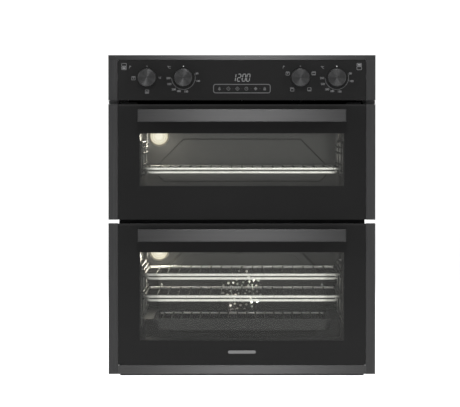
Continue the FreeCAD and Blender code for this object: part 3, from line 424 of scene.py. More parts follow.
def wool(name):
    n = Nodes(name)
    a = n.noise(60.0, 8.0, 0.75, distortion=1.5)
    f = n.noise(1.0, 6.0, 0.8, n.mapping((1500, 1500, 120)), distortion=2.0)
    c = n.ramp(a, [(0.3, (0.30, 0.26, 0.16)), (0.5, (0.52, 0.47, 0.33)), (0.72, (0.68, 0.64, 0.50))])
    c = n.mix(n.range(f, 0.0, 0.5, 0.45, 0.7), c, (0.82, 0.79, 0.68))
    h = n.math("ADD", a, n.math("MULTIPLY", f, 0.5))
    n.to(Base_Color=c, Normal=n.bump(h, 0.9, 0.002))
    n.set(Roughness=0.95, Sheen_Weight=0.3, Sheen_Roughness=0.5)
    return n.m


def knit(name):
    """Braided glass-fibre yarn."""
    n = Nodes(name)
    a = n.noise(900.0, 5.0, 0.7)
    b = n.noise(40.0, 3.0, 0.6)
    c = n.ramp(a, [(0.3, (0.012, 0.012, 0.012)), (0.6, (0.045, 0.045, 0.045)), (0.8, (0.10, 0.10, 0.10))])
    c = n.mix(n.range(b, 0.0, 0.3, 0.4, 0.7), c, (0.02, 0.02, 0.02))
    n.to(Base_Color=c, Normal=n.bump(a, 0.7, 0.0006))
    n.set(Roughness=0.85, Sheen_Weight=0.25)
    return n.m


def ceramic(name):
    n = Nodes(name)
    a = n.noise(120.0, 5.0, 0.6)
    c = n.ramp(a, [(0.3, (0.66, 0.62, 0.54)), (0.7, (0.82, 0.79, 0.72))])
    n.to(Base_Color=c, Roughness=n.range(a, 0.55, 0.75, 0.3, 0.7), Normal=n.bump(a, 0.2, 0.0003))
    return n.m


def glow(name, base, colour, strength):
    """A lit lamp or display part, with slight variation over its face."""
    n = Nodes(name)
    a = n.noise(220.0, 3.0, 0.5)
    c = n.ramp(a, [(0.3, tuple(v * 0.88 for v in base)), (0.7, base)])
    e = n.ramp(a, [(0.3, tuple(v * 0.9 for v in colour)), (0.7, colour)])
    n.to(Base_Color=c, Emission_Color=e, Roughness=n.range(a, 0.25, 0.4, 0.3, 0.7))
    n.set(Emission_Strength=strength)
    return n.m


def lit_lens(name):
    """Pressed glass over a lamp: a bright middle, a dimmer ring, a bright rib and a dull rim."""
    n = Nodes(name)
    x, y, z = n.xyz("Generated")
    dx, dz = n.math("SUBTRACT", x, 0.5), n.math("SUBTRACT", z, 0.5)
    r = n.math("SQRT", n.math("ADD", n.math("MULTIPLY", dx, dx), n.math("MULTIPLY", dz, dz)))
    r = n.math("ADD", r, n.math("MULTIPLY", n.math("SUBTRACT", n.noise(160.0, 2.0, 0.5), 0.5), 0.03))
    e = n.ramp(r, [(0.0, (0.92, 0.86, 0.73)), (0.17, (0.96, 0.91, 0.80)), (0.25, (0.70, 0.63, 0.50)), (0.30, (0.95, 0.89, 0.76)),
                   (0.36, (0.62, 0.55, 0.41)), (0.40, (0.88, 0.81, 0.66)), (0.44, (0.24, 0.20, 0.14)), (0.5, (0.05, 0.042, 0.03))])
    n.to(Emission_Color=e, Roughness=n.range(r, 0.2, 0.4, 0.0, 0.5))
    n.set(Emission_Strength=1.75)
    n.bsdf.inputs["Base Color"].default_value = (0.10, 0.095, 0.08, 1)
    return n.m


def ink(name, base):
    n = Nodes(name)
    a = n.noise(2500.0, 2.0, 0.6)
    c = n.ramp(a, [(0.3, tuple(v * 0.85 for v in base)), (0.7, tuple(min(1, v * 1.1) for v in base))])
    n.to(Base_Color=c, Roughness=n.range(a, 0.3, 0.5, 0.3, 0.7))
    n.set(Specular_IOR_Level=0.3)
    return n.m


def frit_ink(name, base):
    n = Nodes(name)
    a = n.noise(1800.0, 3.0, 0.6)
    b = n.noise(7.0, 3.0, 0.6)
    c = n.ramp(n.math("ADD", n.math("MULTIPLY", a, 0.4), n.math("MULTIPLY", b, 0.6)),
               [(0.3, tuple(v * 0.92 for v in base)), (0.7, tuple(v * 1.08 for v in base))])
    n.to(Base_Color=c, Roughness=n.range(a, 0.55, 0.7, 0.3, 0.7))
    n.set(Specular_IOR_Level=0.15)
    return n.m


def floor_material(name, base, emit):
    n = Nodes(name)
    a = n.noise(3.0, 2.0, 0.5)
    c = n.ramp(a, [(0.3, tuple(v * 0.985 for v in base)), (0.7, base)])
    n.to(Base_Color=c, Roughness=n.range(a, 0.7, 0.8, 0.3, 0.7))
    n.bsdf.inputs["Emission Color"].default_value = (1, 1, 1, 1)
    n.set(Emission_Strength=emit, Specular_IOR_Level=0.1)
    return n.m


TRIM = lin(72)
# the see-through part of each door in mm: half width, lowest and highest point
UP_WINDOW = (226.7, 424.8, 540.7)
LO_WINDOW = (226.7, 80.2, 275.8)
M = {
    "trim_v": brushed("black_steel_upright", (0.050, 0.050, 0.0505), 0.42, "z", 0.5, 0.12),
    "trim_h": brushed("black_steel_across", (0.060, 0.060, 0.0603), 0.36, "x", 1.0, 0.10),
    "panel_trim": brushed_panel("black_steel_panel", (0.036, 0.036, 0.0363), (0.050, 0.050, 0.0505), 0.36, 0.2764, 0.7046),
    "handle": brushed("dark_handle_steel", (0.038, 0.038, 0.0383), 0.36, "x", 1.0, 0.08),
    "post": brushed("handle_post_steel", (0.05, 0.05, 0.051), 0.4, "x", 0.2, 0.1),
    "knob": spun("spun_knob_metal", (0.052, 0.0522, 0.0528), 0.38),
    "fascia": black_glass("black_panel_glass", (0.0085, 0.0085, 0.0085)),
    "glass_up": door_glass("upper_door_glass", "upper_door_outer_glass", UP_WINDOW, (0.80, 0.805, 0.795), (0.12, 0.12, 0.12), (0.0103, 0.0103, 0.0103)),
    "glass_lo": door_glass("lower_door_glass", "lower_door_outer_glass", LO_WINDOW, (0.80, 0.805, 0.795), (0.12, 0.12, 0.12), (0.0103, 0.0103, 0.0103)),
    "inner": clear_glass("inner_door_glass", (0.95, 0.955, 0.945), (0.06, 0.06, 0.06), 0.1),
    "frit": frit_ink("printed_black_border", (0.021, 0.021, 0.021)),
    "cavity": enamel("cavity_enamel", (0.035, 0.0343, 0.0328), (0.34, 0.33, 0.31), 0.40, coat=0.3, gloss=0.4),
    # a lighter copy of the cavity enamel for the oven floor: painted light where the grill pan's shade falls
    "cavity_floor_painted_light": enamel("cavity_floor_enamel", (0.17, 0.167, 0.16), (0.34, 0.33, 0.31), 0.4),
    "cavity_up": enamel("top_cavity_enamel", (0.093, 0.091, 0.088), (0.40, 0.39, 0.37), 0.36),
    "frame": enamel("frame_enamel_and_painted_shade", (0.0030, 0.0030, 0.0033), (0.03, 0.03, 0.03), 0.45, coat=0.0, gloss=0.12),
    # a darker copy of the enamel for the pressed panel's bevel: painted shade
    "bevel_painted_shade": enamel("cavity_enamel_painted_shade_edge", (0.080, 0.078, 0.075), (0.20, 0.20, 0.19), 0.5, coat=0.0, gloss=0.1),
    "cavity_panel": enamel("cavity_enamel_panel", (0.102, 0.100, 0.096), (0.42, 0.41, 0.39), 0.36),
    "pan": enamel("pan_enamel", (0.0115, 0.0115, 0.0123), (0.12, 0.12, 0.125), 0.42, coat=0.1, gloss=0.3),
    "cover": enamel("fan_cover_enamel", (0.035, 0.0343, 0.0328), (0.34, 0.33, 0.31), 0.40, coat=0.3, gloss=0.4),
    "chrome": chrome("chromed_wire", (0.92, 0.91, 0.885), 0.30),
    # bright and near-black copies of the shelf chrome: painted highlight on the bars, painted shade on the wires
    "bar": chrome("bright_shelf_bar", (0.94, 0.93, 0.905), 0.42, 0.40, 0.186),
    "bar_up": chrome("bright_top_shelf_bar", (0.84, 0.83, 0.81), 0.40, 0.50, 0.200),
    "back_bar": chrome("painted_light_back_bar", (0.95, 0.94, 0.915), 0.40, 0.0),
    "wire": chrome("painted_shade_shelf_wire", (0.07, 0.0693, 0.067), 0.42),
    # side racks: a dark copy of the chrome as painted shade, and a bright copy as painted highlight
    "rack": chrome("rack_wire", (0.12, 0.119, 0.115), 0.35),
    "rack_painted_highlight": chrome("rack_wire_bright", (0.62, 0.615, 0.595), 0.35, 0.40),
    "zinc": galvanised("zinc_sheet", (0.44, 0.447, 0.455)),
    "zinc_fine": galvanised("zinc_hinge_steel", (0.50, 0.505, 0.51), 220.0),
    "element": element_metal("heating_element_alloy"),
    "motor": galvanised("motor_steel", (0.42, 0.42, 0.43), 300.0),
    "fan_sheet": chrome("fan_wheel_sheet", (0.80, 0.79, 0.76), 0.45),
    "fan_metal": brushed("fan_aluminium", (0.72, 0.725, 0.73), 0.34, "z", 0.1, 0.1),
    "black_plastic": plastic("black_moulded_plastic", (0.020, 0.020, 0.021)),
    "matt_black": plastic("matt_black_and_painted_shade", (0.0018, 0.0018, 0.0020), 0.8, gloss=0.04),
    "vent_plastic": plastic("vent_trim_plastic", (0.014, 0.014, 0.0145), 0.7, gloss=0.3),
    "switch": plastic("switch_moulding", (0.66, 0.63, 0.56), 0.45),
    "wool": wool("mineral_wool"),
    "knit": knit("braided_glass_fibre"),
    "ceramic": ceramic("lamp_ceramic"),
    "bulb": glow("lit_bulb_glass", (0.9, 0.85, 0.75), (1.0, 0.86, 0.62), 6.0),
    "lens": lit_lens("lit_lens_glass"),
    "print": ink("panel_print", (0.135, 0.135, 0.138)),
    "print_mid": ink("panel_print_mid", (0.075, 0.075, 0.077)),
    "print_dim": ink("panel_print_dim", (0.062, 0.062, 0.063)),
    "digits": glow("clock_segments", (0.10, 0.10, 0.10), (0.95, 0.98, 1.0), 0.072),
    "led": glow("indicator_led", (0.30, 0.30, 0.30), (1.0, 1.0, 1.0), 0.42),
    "badge": brushed("badge_steel", (0.20, 0.20, 0.20), 0.4, "x", 0.3, 0.08),
    "screw": chrome("screw_steel", (0.55, 0.55, 0.56), 0.3),
    "floor": floor_material("studio_floor", (0.86, 0.86, 0.86), 0.540),
}

DRESS = {
    "panel_trim": "panel_trim", "upper_door_side_trims": "trim_v", "lower_door_side_trims": "trim_v",
    "lower_door_bottom_trim": "trim_h", "fascia_glass": "fascia",
    "upper_door_outer_glass": "glass_up", "lower_door_outer_glass": "glass_lo",
    "upper_door_inner_glass": "inner", "lower_door_inner_glass": "inner",
    "upper_door_handle_bar": "handle", "lower_door_handle_bar": "handle",
    "upper_door_handle_posts": "post", "lower_door_handle_posts": "post",
    "upper_door_hinge_channels": "zinc_fine", "lower_door_hinge_channels": "zinc_fine",
    "upper_door_profiles": "zinc_fine", "lower_door_profiles": "zinc_fine",
    "main_function_knob": "knob", "main_temperature_knob": "knob",
    "top_function_knob": "knob", "top_temperature_knob": "knob",
    "base_pan": "zinc", "side_panels": "zinc", "top_panel": "zinc", "rear_panel": "zinc",
    "rear_fan_cover": "zinc", "fixing_brackets": "black_plastic", "switch_bridge": "zinc_fine",
    "cooling_fan_housing": "zinc_fine", "hinge_arms": "zinc_fine",
    "front_frame": "frame", "grill_pan": "pan", "upper_cavity_liner": "cavity_up",
    "lower_cavity_liner": "cavity", "fan_cover": "cover", "oven_insulation": "wool",
    "lamp_holders": "ceramic", "lamp_bulbs": "bulb", "lamp_lenses": "lens",
    "upper_grill_element": "element", "upper_base_element": "element", "fan_ring_element": "element",
    "circulation_fan_motor": "motor", "cooling_fan_motor": "motor",
    "circulation_fan_wheel": "fan_sheet", "cooling_fan_wheel": "fan_metal",
    "panel_carrier": "matt_black", "clock_module": "black_plastic", "control_switches": "switch",
    "vent_trim": "vent_plastic", "door_gaskets": "knit", "terminal_block": "black_plastic",
    "cable_gland": "black_plastic", "upper_side_racks": "rack", "lower_side_racks": "rack",
    "upper_wire_shelf": "chrome", "main_top_wire_shelf": "chrome", "main_middle_wire_shelf": "chrome",
    "grill_pan_trivet": "chrome",
}
for node, key in DRESS.items():
    mesh = NODES[node].data
    mesh.materials.clear()
    mesh.materials.append(M[key])


def face_material(node, key, test):
    """Gives the node's faces whose centre passes the test another material."""
    mesh = NODES[node].data
    mesh.materials.append(M[key])
    k = len(mesh.materials) - 1
    for p in mesh.polygons:
        if test(p.center, p.normal):
            p.material_index = k


# faces round the gaps between the doors in near-black, as painted shade for the dark in the gaps: the duct's mouth,
# the front faces of the rear and side panels, and the base tray's lip
face_material("cooling_fan_housing", "matt_black", lambda c, nn: c.z < 0.642)
face_material("rear_panel", "matt_black", lambda c, nn: nn.y < -0.9)
face_material("side_panels", "matt_black", lambda c, nn: nn.y < -0.9)
face_material("base_pan", "frame", lambda c, nn: c.y < -0.2195)
# pressed panel in the top oven's back wall: its bevel in a darker copy of the enamel as painted shade, round a flat
# middle in a slightly lighter tone
face_material("upper_cavity_liner", "bevel_painted_shade", lambda c, nn: abs(c.x) < 0.203 and 0.42 < c.z < 0.531 and 0.1971 < c.y < 0.1999 and 0.2 < abs(nn.y) < 0.97)
face_material("upper_cavity_liner", "cavity_panel", lambda c, nn: abs(c.x) < 0.2 and 0.42 < c.z < 0.53 and 0.1965 < c.y < 0.1972)


# painted shade: the vent trim's middle behind the gap, the fillet under the trim's top bar and the panel glass's top
# faces are given the matt black so they show dark
face_material("vent_trim", "matt_black", lambda c, nn: abs(c.x) < 0.2255)
face_material("panel_trim", "matt_black", lambda c, nn: abs(c.x) < 0.2765 and 0.7030 < c.z < 0.7098 and nn.z < -0.04)
face_material("fascia_glass", "matt_black", lambda c, nn: nn.z > 0.3)
# the bars across the front and back of each shelf get bright copies of the chrome as painted highlight; the wires
# that run back from them get a near-black copy as painted shade
for node, bar in (("upper_wire_shelf", "bar_up"), ("main_top_wire_shelf", "bar"), ("main_middle_wire_shelf", "bar")):
    face_material(node, "wire", lambda c, nn: -0.190 < c.y < 0.148 and not -0.171 < c.y < -0.159)
    face_material(node, bar, lambda c, nn: c.y <= -0.190 or -0.171 < c.y < -0.159)
    face_material(node, "back_bar", lambda c, nn: c.y >= 0.148)
# the trivet the same way: painted shade on its wires, painted highlight on its back bar
face_material("grill_pan_trivet", "wire", lambda c, nn: c.y < 0.125)
face_material("grill_pan_trivet", "back_bar", lambda c, nn: c.y >= 0.125)
# painted highlight on the rear wires' faces that look toward the door; the rest of each rack in the dark copy as
# painted shade
for node in ("upper_side_racks", "lower_side_racks"):
    face_material(node, "rack_painted_highlight", lambda c, nn: nn.y < -0.25 and c.y > -0.10)
# painted light: the floor of the lower oven in the lighter enamel copy
face_material("lower_cavity_liner", "cavity_floor_painted_light", lambda c, nn: c.z < 0.085 and nn.z > 0.5)


# ------------------------------------------------------------------ mesh helpers
def piece(name, verts, faces, mat, body, smooth=False):
    me = bpy.data.meshes.new(name)
    me.from_pydata([tuple(v) for v in verts], [], faces)
    me.validate()
    me.update()
    bm = bmesh.new()
    bm.from_mesh(me)
    bmesh.ops.recalc_face_normals(bm, faces=bm.faces)
    bm.to_mesh(me)
    bm.free()
    ob = bpy.data.objects.new(name, me)
    SCENE.collection.objects.link(ob)
    me.materials.append(mat)
    if smooth:
        for p in me.polygons:
            p.use_smooth = True
    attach(ob, body)
    return ob


class Flat:
    """Collects thin raised shapes on a plane that faces -Y. Millimetres, (x, z)."""

    def __init__(self, y_face, lift=0.05, sink=0.02):
        self.y0, self.y1 = y_face * 1000 + sink, y_face * 1000 - lift
        self.v, self.f = [], []

    def poly(self, pts):
        """A convex polygon, anticlockwise or clockwise."""
        n, k = len(pts), len(self.v)
        for y in (self.y0, self.y1):
            self.v += [(p[0] * MM, y * MM, p[1] * MM) for p in pts]
        self.f.append([k + i for i in range(n)])
        self.f.append([k + n + i for i in reversed(range(n))])
        for i in range(n):
            j = (i + 1) % n
            self.f.append([k + i, k + n + i, k + n + j, k + j])

    def ribbon(self, pts, w, closed=False):
        """A line of constant width through the points, as one closed strip."""
        n = len(pts)
        left, right = [], []
        for i in range(n):
            p = Vector(pts[i])
            a = Vector(pts[i - 1]) if (i > 0 or closed) else None
            b = Vector(pts[(i + 1) % n]) if (i < n - 1 or closed) else None
            d1 = (p - a).normalized() if a is not None else None
            d2 = (b - p).normalized() if b is not None else None
            d = (d1 + d2).normalized() if d1 is not None and d2 is not None else (d1 if d1 is not None else d2)
            nrm = Vector((-d.y, d.x))
            k = 1.0
            if d1 is not None and d2 is not None:
                k = 1.0 / max(0.35, nrm.dot(Vector((-d1.y, d1.x))))
            left.append(p + nrm * (w / 2 * k))
            right.append(p - nrm * (w / 2 * k))
        k0 = len(self.v)
        for y in (self.y0, self.y1):
            for q in left + right:
                self.v.append((q.x * MM, y * MM, q.y * MM))
        m = 2 * n

        def L(i):
            return k0 + i % n

        def R(i):
            return k0 + n + i % n

        for i in range(n if closed else n - 1):
            self.f.append([L(i), L(i + 1), R(i + 1), R(i)])
            self.f.append([m + L(i), m + R(i), m + R(i + 1), m + L(i + 1)])
            self.f.append([L(i), m + L(i), m + L(i + 1), L(i + 1)])
            self.f.append([R(i), R(i + 1), m + R(i + 1), m + R(i)])
        if not closed:
            for i in (0, n - 1):
                self.f.append([L(i), R(i), m + R(i), m + L(i)])

    def disc(self, x, z, r, n=24):
        self.poly([(x + r * math.cos(2 * math.pi * i / n), z + r * math.sin(2 * math.pi * i / n)) for i in range(n)])

    def ring(self, x, z, r, w, n=28):
        self.ribbon([(x + r * math.cos(2 * math.pi * i / n), z + r * math.sin(2 * math.pi * i / n)) for i in range(n)], w, True)

    def arc(self, x, z, r, a0, a1, w, n=48):
        """Angles in degrees, clockwise from the top."""
        pts = []
        for i in range(n + 1):
            a = math.radians(a0 + (a1 - a0) * i / n)
            pts.append((x + r * math.sin(a), z + r * math.cos(a)))
        self.ribbon(pts, w)

    def rounded(self, x0, x1, z0, z1, r, w=None, n=6):
        pts = []
        for cx, cz, a0 in ((x1 - r, z1 - r, 0), (x0 + r, z1 - r, 90), (x0 + r, z0 + r, 180), (x1 - r, z0 + r, 270)):
            for k in range(n + 1):
                a = math.radians(a0 + 90 * k / n)
                pts.append((cx + r * math.cos(a), cz + r * math.sin(a)))
        if w:
            self.ribbon(pts, w, True)
        else:
            self.poly(pts)

    def rect(self, x0, x1, z0, z1):
        self.poly([(x0, z0), (x1, z0), (x1, z1), (x0, z1)])

    def text(self, body, x, z, size, bold=0.0, shear=0.0):
        """Plain numerals, centred on (x, z)."""
        cu = bpy.data.curves.new("numerals", "FONT")
        cu.body = body
        cu.size = size * MM * 1.38
        cu.align_x = "CENTER"
        cu.align_y = "CENTER"
        cu.extrude = (self.y0 - self.y1) / 2 * MM
        cu.offset = bold * MM
        cu.shear = shear
        cu.resolution_u = 4
        ob = bpy.data.objects.new("numerals", cu)
        SCENE.collection.objects.link(ob)
        bpy.context.view_layer.update()
        me = bpy.data.meshes.new_from_object(ob.evaluated_get(bpy.context.evaluated_depsgraph_get()))
        rot = Matrix.Rotation(math.radians(90), 4, "X")
        t = Matrix.Translation(Vector((x * MM, (self.y0 + self.y1) / 2 * MM, z * MM)))
        me.transform(t @ rot)
        k = len(self.v)
        self.v += [tuple(v.co) for v in me.vertices]
        self.f += [[k + i for i in p.vertices] for p in me.polygons]
        bpy.data.objects.remove(ob)
        bpy.data.curves.remove(cu)
        bpy.data.meshes.remove(me)

    def make(self, name, mat, body):
        return piece(name, self.v, self.f, mat, body)


# ------------------------------------------------------------------ control panel print
def box_icon(f, x, z, w, h, t, marks):
    """An oven symbol: a rounded square with bars inside."""
    f.rounded(x - w / 2, x + w / 2, z - h / 2, z + h / 2, 1.0, t)
    for m in marks:
        if m == "top":
            f.rect(x - w / 2 + 1.2, x + w / 2 - 1.2, z + h / 2 - 2.1, z + h / 2 - 1.1)
        elif m == "bottom":
            f.rect(x - w / 2 + 1.2, x + w / 2 - 1.2, z - h / 2 + 1.1, z - h / 2 + 2.1)
        elif m == "down":
            f.poly([(x - 1.3, z + 0.6), (x + 1.3, z + 0.6), (x, z - 1.3)])
        elif m == "fan":
            for k in range(4):
                a = math.radians(45 + 90 * k)
                p = (x + 2.1 * math.cos(a), z + 2.1 * math.sin(a))
                q = (x + 0.5 * math.cos(a + 0.9), z + 0.5 * math.sin(a + 0.9))
                r = (x + 2.0 * math.cos(a + 0.55), z + 2.0 * math.sin(a + 0.55))
                f.poly([q, p, r])
            f.disc(x, z, 0.5, 12)


def panel_print():
    y = FACE_Y
    f = Flat(y)
    d = Flat(y)
    m = Flat(y)
    kx = [v * 1000 for v in KNOB_X]
    kz = KNOB_Z * 1000
    # number scales
    labels = [("50", 30.2, 9.1), ("100", 32.6, -7.8), ("150", 5.9, -31.0), ("180", -10.5, -30.1),
              ("200", -21.5, -26.3), ("220", -31.4, -14.3), ("250", -33.2, -1.3)]
    for c in (kx[1], kx[3]):
        for t, dx, dz in labels:
            f.text(t, c + dx, kz + dz, 4.3, 0.14)
        m.arc(c, kz, 26.2, 71, 268, 1.0)
        for a in (71, 103, 169, 199, 219, 245, 268):
            s, q = math.sin(math.radians(a)), math.cos(math.radians(a))
            m.ribbon([(c + 26.8 * s, kz + 26.8 * q), (c + 28.2 * s, kz + 28.2 * q)], 0.9)
        # degree sign and C
        f.ring(c - 33.9, kz + 24.6, 1.0, 0.6, 14)
        f.text("C", c - 30.8, kz + 22.3, 5.2, 0.02)
    # function symbols, main oven
    c = kx[0]
    box_icon(f, c - 30.0, kz - 1.3, 8.0, 7.6, 0.8, ["fan", "top"])
    box_icon(f, c, kz - 31.0, 7.6, 7.4, 0.8, ["fan", "bottom"])
    # lamp symbol
    f.ring(c + 28.9, kz - 0.2, 1.3, 0.7, 16)
    f.rect(c + 28.2, c + 29.6, kz - 2.9, kz - 1.9)
    for a in (-60, 60, 0, -110, 110):
        s, q = math.sin(math.radians(a)), math.cos(math.radians(a))
        f.ribbon([(c + 28.9 + 2.2 * s, kz - 0.2 + 2.2 * q), (c + 28.9 + 3.3 * s, kz - 0.2 + 3.3 * q)], 0.6)
    # function symbols, top oven
    c = kx[2]
    box_icon(f, c - 28.2, kz + 9.2, 7.8, 7.4, 0.8, ["top", "down"])
    box_icon(f, c + 29.6, kz + 9.4, 7.8, 7.4, 0.8, ["top", "bottom"])
    box_icon(f, c - 18.2, kz - 26.3, 7.6, 7.4, 0.8, ["top"])
    box_icon(f, c + 19.9, kz - 26.1, 7.6, 7.4, 0.8, ["bottom"])
    # pennants beside the off marks
    for c in (kx[0] - 37.8, kx[2] - 37.3):
        f.ribbon([(c - 1.4, kz + 20.8), (c - 0.4, kz + 26.4)], 0.8)
        f.poly([(c - 0.4, kz + 26.6), (c + 2.9, kz + 25.2), (c - 0.8, kz + 23.6)])
    # which oven: two stacked cavities, the one that is meant filled in
    for x, low in ((kx[0] - 51.1, True), (kx[3] + 49.8, False)):
        f.rounded(x - 5.2, x + 5.2, kz + 25.6, kz + 31.6, 1.2, 0.8)
        f.rounded(x - 5.2, x + 5.2, kz + 17.6, kz + 24.4, 1.2, 0.8)
        z0, z1 = (kz + 19.2, kz + 22.8) if low else (kz + 27.0, kz + 30.2)
        f.rect(x - 3.4, x + 3.4, z0, z1)
    # off marks over the function controls
    for c in (kx[0], kx[2]):
        d.poly([(c - 1.6, kz + 26.6), (c + 1.6, kz + 26.6), (c + 1.0, kz + 23.9), (c - 1.0, kz + 23.9)])
    # touch strip
    m.rounded(-63, 63, kz - 33.9, kz - 15.0, 4.6, 1.7)
    zz = kz - 24.6
    # bell
    d.poly([(-53.4, zz - 2.4), (-46.6, zz - 2.4), (-48.3, zz + 2.2), (-51.7, zz + 2.2)])
    d.disc(-50, zz + 2.2, 1.7, 14)
    d.disc(-50, zz - 3.4, 1.0, 10)
    for x in (-30.0, -10.0):
        d.ribbon([(x - 4.2, zz), (x, zz + 4.2), (x + 4.2, zz), (x, zz - 4.2)], 1.1, True)
    d.rect(-31.6, -28.4, zz - 0.4, zz + 0.4)
    d.ribbon([(-11.5, zz), (-8.5, zz)], 0.8)
    d.ribbon([(-10, zz - 1.5), (-10, zz + 1.5)], 0.8)
    d.ring(10.0, zz, 3.4, 1.1)
    d.ribbon([(10, zz), (10, zz + 2.1)], 0.8)
    d.ribbon([(10, zz), (11.7, zz - 0.4)], 0.8)
    d.poly([(26.4, zz), (30.5, zz - 4.1), (34.6, zz), (30.5, zz + 4.1)])
    d.rounded(47.8, 53.6, zz - 3.6, zz + 1.0, 0.8)
    d.arc(50.7, zz + 0.9, 2.0, -90, 90, 1.0, 12)
    for x in (-40, -20, 0, 20, 40):
        d.disc(x, zz, 0.55, 8)
    f.make("panel_symbols", M["print"], "chassis")
    m.make("panel_scales", M["print_mid"], "chassis")
    d.make("panel_symbols_dim", M["print_dim"], "chassis")

    # clock: slanted seven-segment figures, one two colon zero zero
    g = Flat(y, 0.06)
    sl = 0.14
    z0, z1, w = kz - 8.0, kz + 7.8, 6.5

    def seg(cx, name, t=1.7):
        h = (z1 - z0) / 2
        zc = (z0 + z1) / 2
        a, b = -w / 2, w / 2
        gp = 0.35
        lines = {
            "a": ((a + gp, z1), (b - gp, z1)), "d": ((a + gp, z0), (b - gp, z0)), "g": ((a + gp, zc), (b - gp, zc)),
            "f": ((a, zc + gp), (a, z1 - gp)), "b": ((b, zc + gp), (b, z1 - gp)),
            "e": ((a, z0 + gp), (a, zc - gp)), "c": ((b, z0 + gp), (b, zc - gp)),
        }
        (xa, za), (xb, zb) = lines[name]
        hx = t / 2
        if za == zb:
            pts = [(xa, za), (xa + hx, za + hx), (xb - hx, za + hx), (xb, za), (xb - hx, za - hx), (xa + hx, za - hx)]
        else:
            pts = [(xa, za), (xa - hx, za + hx), (xa - hx, zb - hx), (xa, zb), (xa + hx, zb - hx), (xa + hx, za + hx)]
        g.poly([(cx + px + (pz - zc) * sl, pz) for px, pz in pts])

    for cx, segs in ((-17.2, "bc"), (-6.2, "abged"), (4.7, "abcdef"), (14.2, "abcdef")):
        for s in segs:
            seg(cx, s)
    for zz in (kz - 3.0, kz + 3.2):
        g.rounded(-1.5 + (zz - kz) * sl, -0.1 + (zz - kz) * sl, zz - 0.8, zz + 0.8, 0.3)
    g.make("clock_figures", M["digits"], "chassis")

    led = Flat(y, 0.25)
    for c in (kx[1], kx[3]):
        led.disc(c, kz + 25.2, 1.05, 24)
    led.make("indicator_lights", M["led"], "chassis")


panel_print()


# ------------------------------------------------------------------ doors: printed borders and badge
def frit(name, glass, window, body, y0, y1, mat, margin=0.6, radius=2.0):
    """A thin printed sheet with a rounded window, as one closed mesh. Window in mm: x half, z0, z1."""
    xh, wz0, wz1 = window
    lo, hi = glass
    ox0, ox1 = lo.x * 1000 + margin, hi.x * 1000 - margin
    oz0, oz1 = lo.z * 1000 + margin, hi.z * 1000 - margin
    n = 6
    inner = []
    for cx, cz, a0 in ((xh - radius, wz1 - radius, 0), (-xh + radius, wz1 - radius, 90),
                       (-xh + radius, wz0 + radius, 180), (xh - radius, wz0 + radius, 270)):
        for k in range(n + 1):
            a = math.radians(a0 + 90 * k / n)
            inner.append((cx + radius * math.cos(a), cz + radius * math.sin(a)))
    corners = [(ox1, oz1), (ox0, oz1), (ox0, oz0), (ox1, oz0)]
    v, f = [], []
    for y in (y0, y1):
        v += [(p[0] * MM, y, p[1] * MM) for p in inner]
        v += [(p[0] * MM, y, p[1] * MM) for p in corners]
    m = len(inner)
    tot = m + 4
    for s in (0, tot):
        for c in range(4):
            seg = [s + c * (n + 1) + k for k in range(n + 1)]
            f += [[s + m + c, seg[k + 1], seg[k]] for k in range(n)]
            nxt = (c + 1) % 4
            f.append([s + m + c, s + m + nxt, s + nxt * (n + 1), seg[-1]])
    for i in range(m):
        j = (i + 1) % m
        f.append([i, j, tot + j, tot + i])
    for c in range(4):
        d = (c + 1) % 4
        f.append([m + c, tot + m + c, tot + m + d, m + d])
    return piece(name, v, f, mat, body)


back = UP_GLASS[1].y
frit("upper_door_printed_border", UP_GLASS, UP_WINDOW, "upper_door", back + 0.00015, back + 0.00030, M["frit"])
frit("lower_door_printed_border", LO_GLASS, LO_WINDOW, "lower_door", back + 0.00015, back + 0.00030, M["frit"])

# a plain raised nameplate with no lettering
b = Flat(LO_GLASS[0].y, 0.7)
b.rounded(-31.0, 31.0, 50.4, 57.4, 3.3)
plate = b.make("blank_badge", M["badge"], "lower_door")
bev = plate.modifiers.new("edge", "BEVEL")
bev.width = 0.0003
bev.segments = 2
bev.limit_method = "ANGLE"


# foam strip between the panel carrier and the top bar of the trim
def block(name, x0, x1, y0, y1, z0, z1, mat, body):
    v = [(x * MM, y * MM, z * MM) for z in (z0, z1) for x, y in ((x0, y0), (x1, y0), (x1, y1), (x0, y1))]
    f = [[3, 2, 1, 0], [4, 5, 6, 7]] + [[i, (i + 1) % 4, (i + 1) % 4 + 4, i + 4] for i in range(4)]
    return piece(name, v, f, mat, body)


block("panel_foam_strip", -275.0, 275.0, -258.3, -244.0, 702.2, 704.5, M["matt_black"], "chassis")


# ------------------------------------------------------------------ oven lamp lenses: pressed glass with flutes
def lens(name, cx, back_y, cz):
    """A shallow dome with radial flutes and a rim, closed at the back."""
    v, f = [], []
    rings = [(0.2, 9.8), (3.0, 9.6), (6.0, 9.0), (9.0, 8.0), (12.0, 6.6), (14.5, 5.0), (16.6, 3.4), (18.0, 2.3), (20.2, 2.2), (21.8, 2.6), (22.9, 2.2), (23.3, 1.2), (23.3, 0.0)]
    n = 96
    for r, h in rings:
        for k in range(n):
            a = 2 * math.pi * k / n
            fl = 0.0
            if 2.0 < r < 17.5:
                fl = 0.55 * math.cos(24 * a) * min(1.0, r / 8.0)
            v.append(((cx + r * math.cos(a)) * MM, (back_y - 1.0 - h - fl) * MM, (cz + r * math.sin(a)) * MM))
    m = len(rings)
    for i in range(m - 1):
        for k in range(n):
            j = (k + 1) % n
            f.append([i * n + k, i * n + j, (i + 1) * n + j, (i + 1) * n + k])
    f.append(list(range(n)))
    f.append([(m - 1) * n + k for k in reversed(range(n))])
    return piece(name, v, f, M["lens"], "chassis", True)


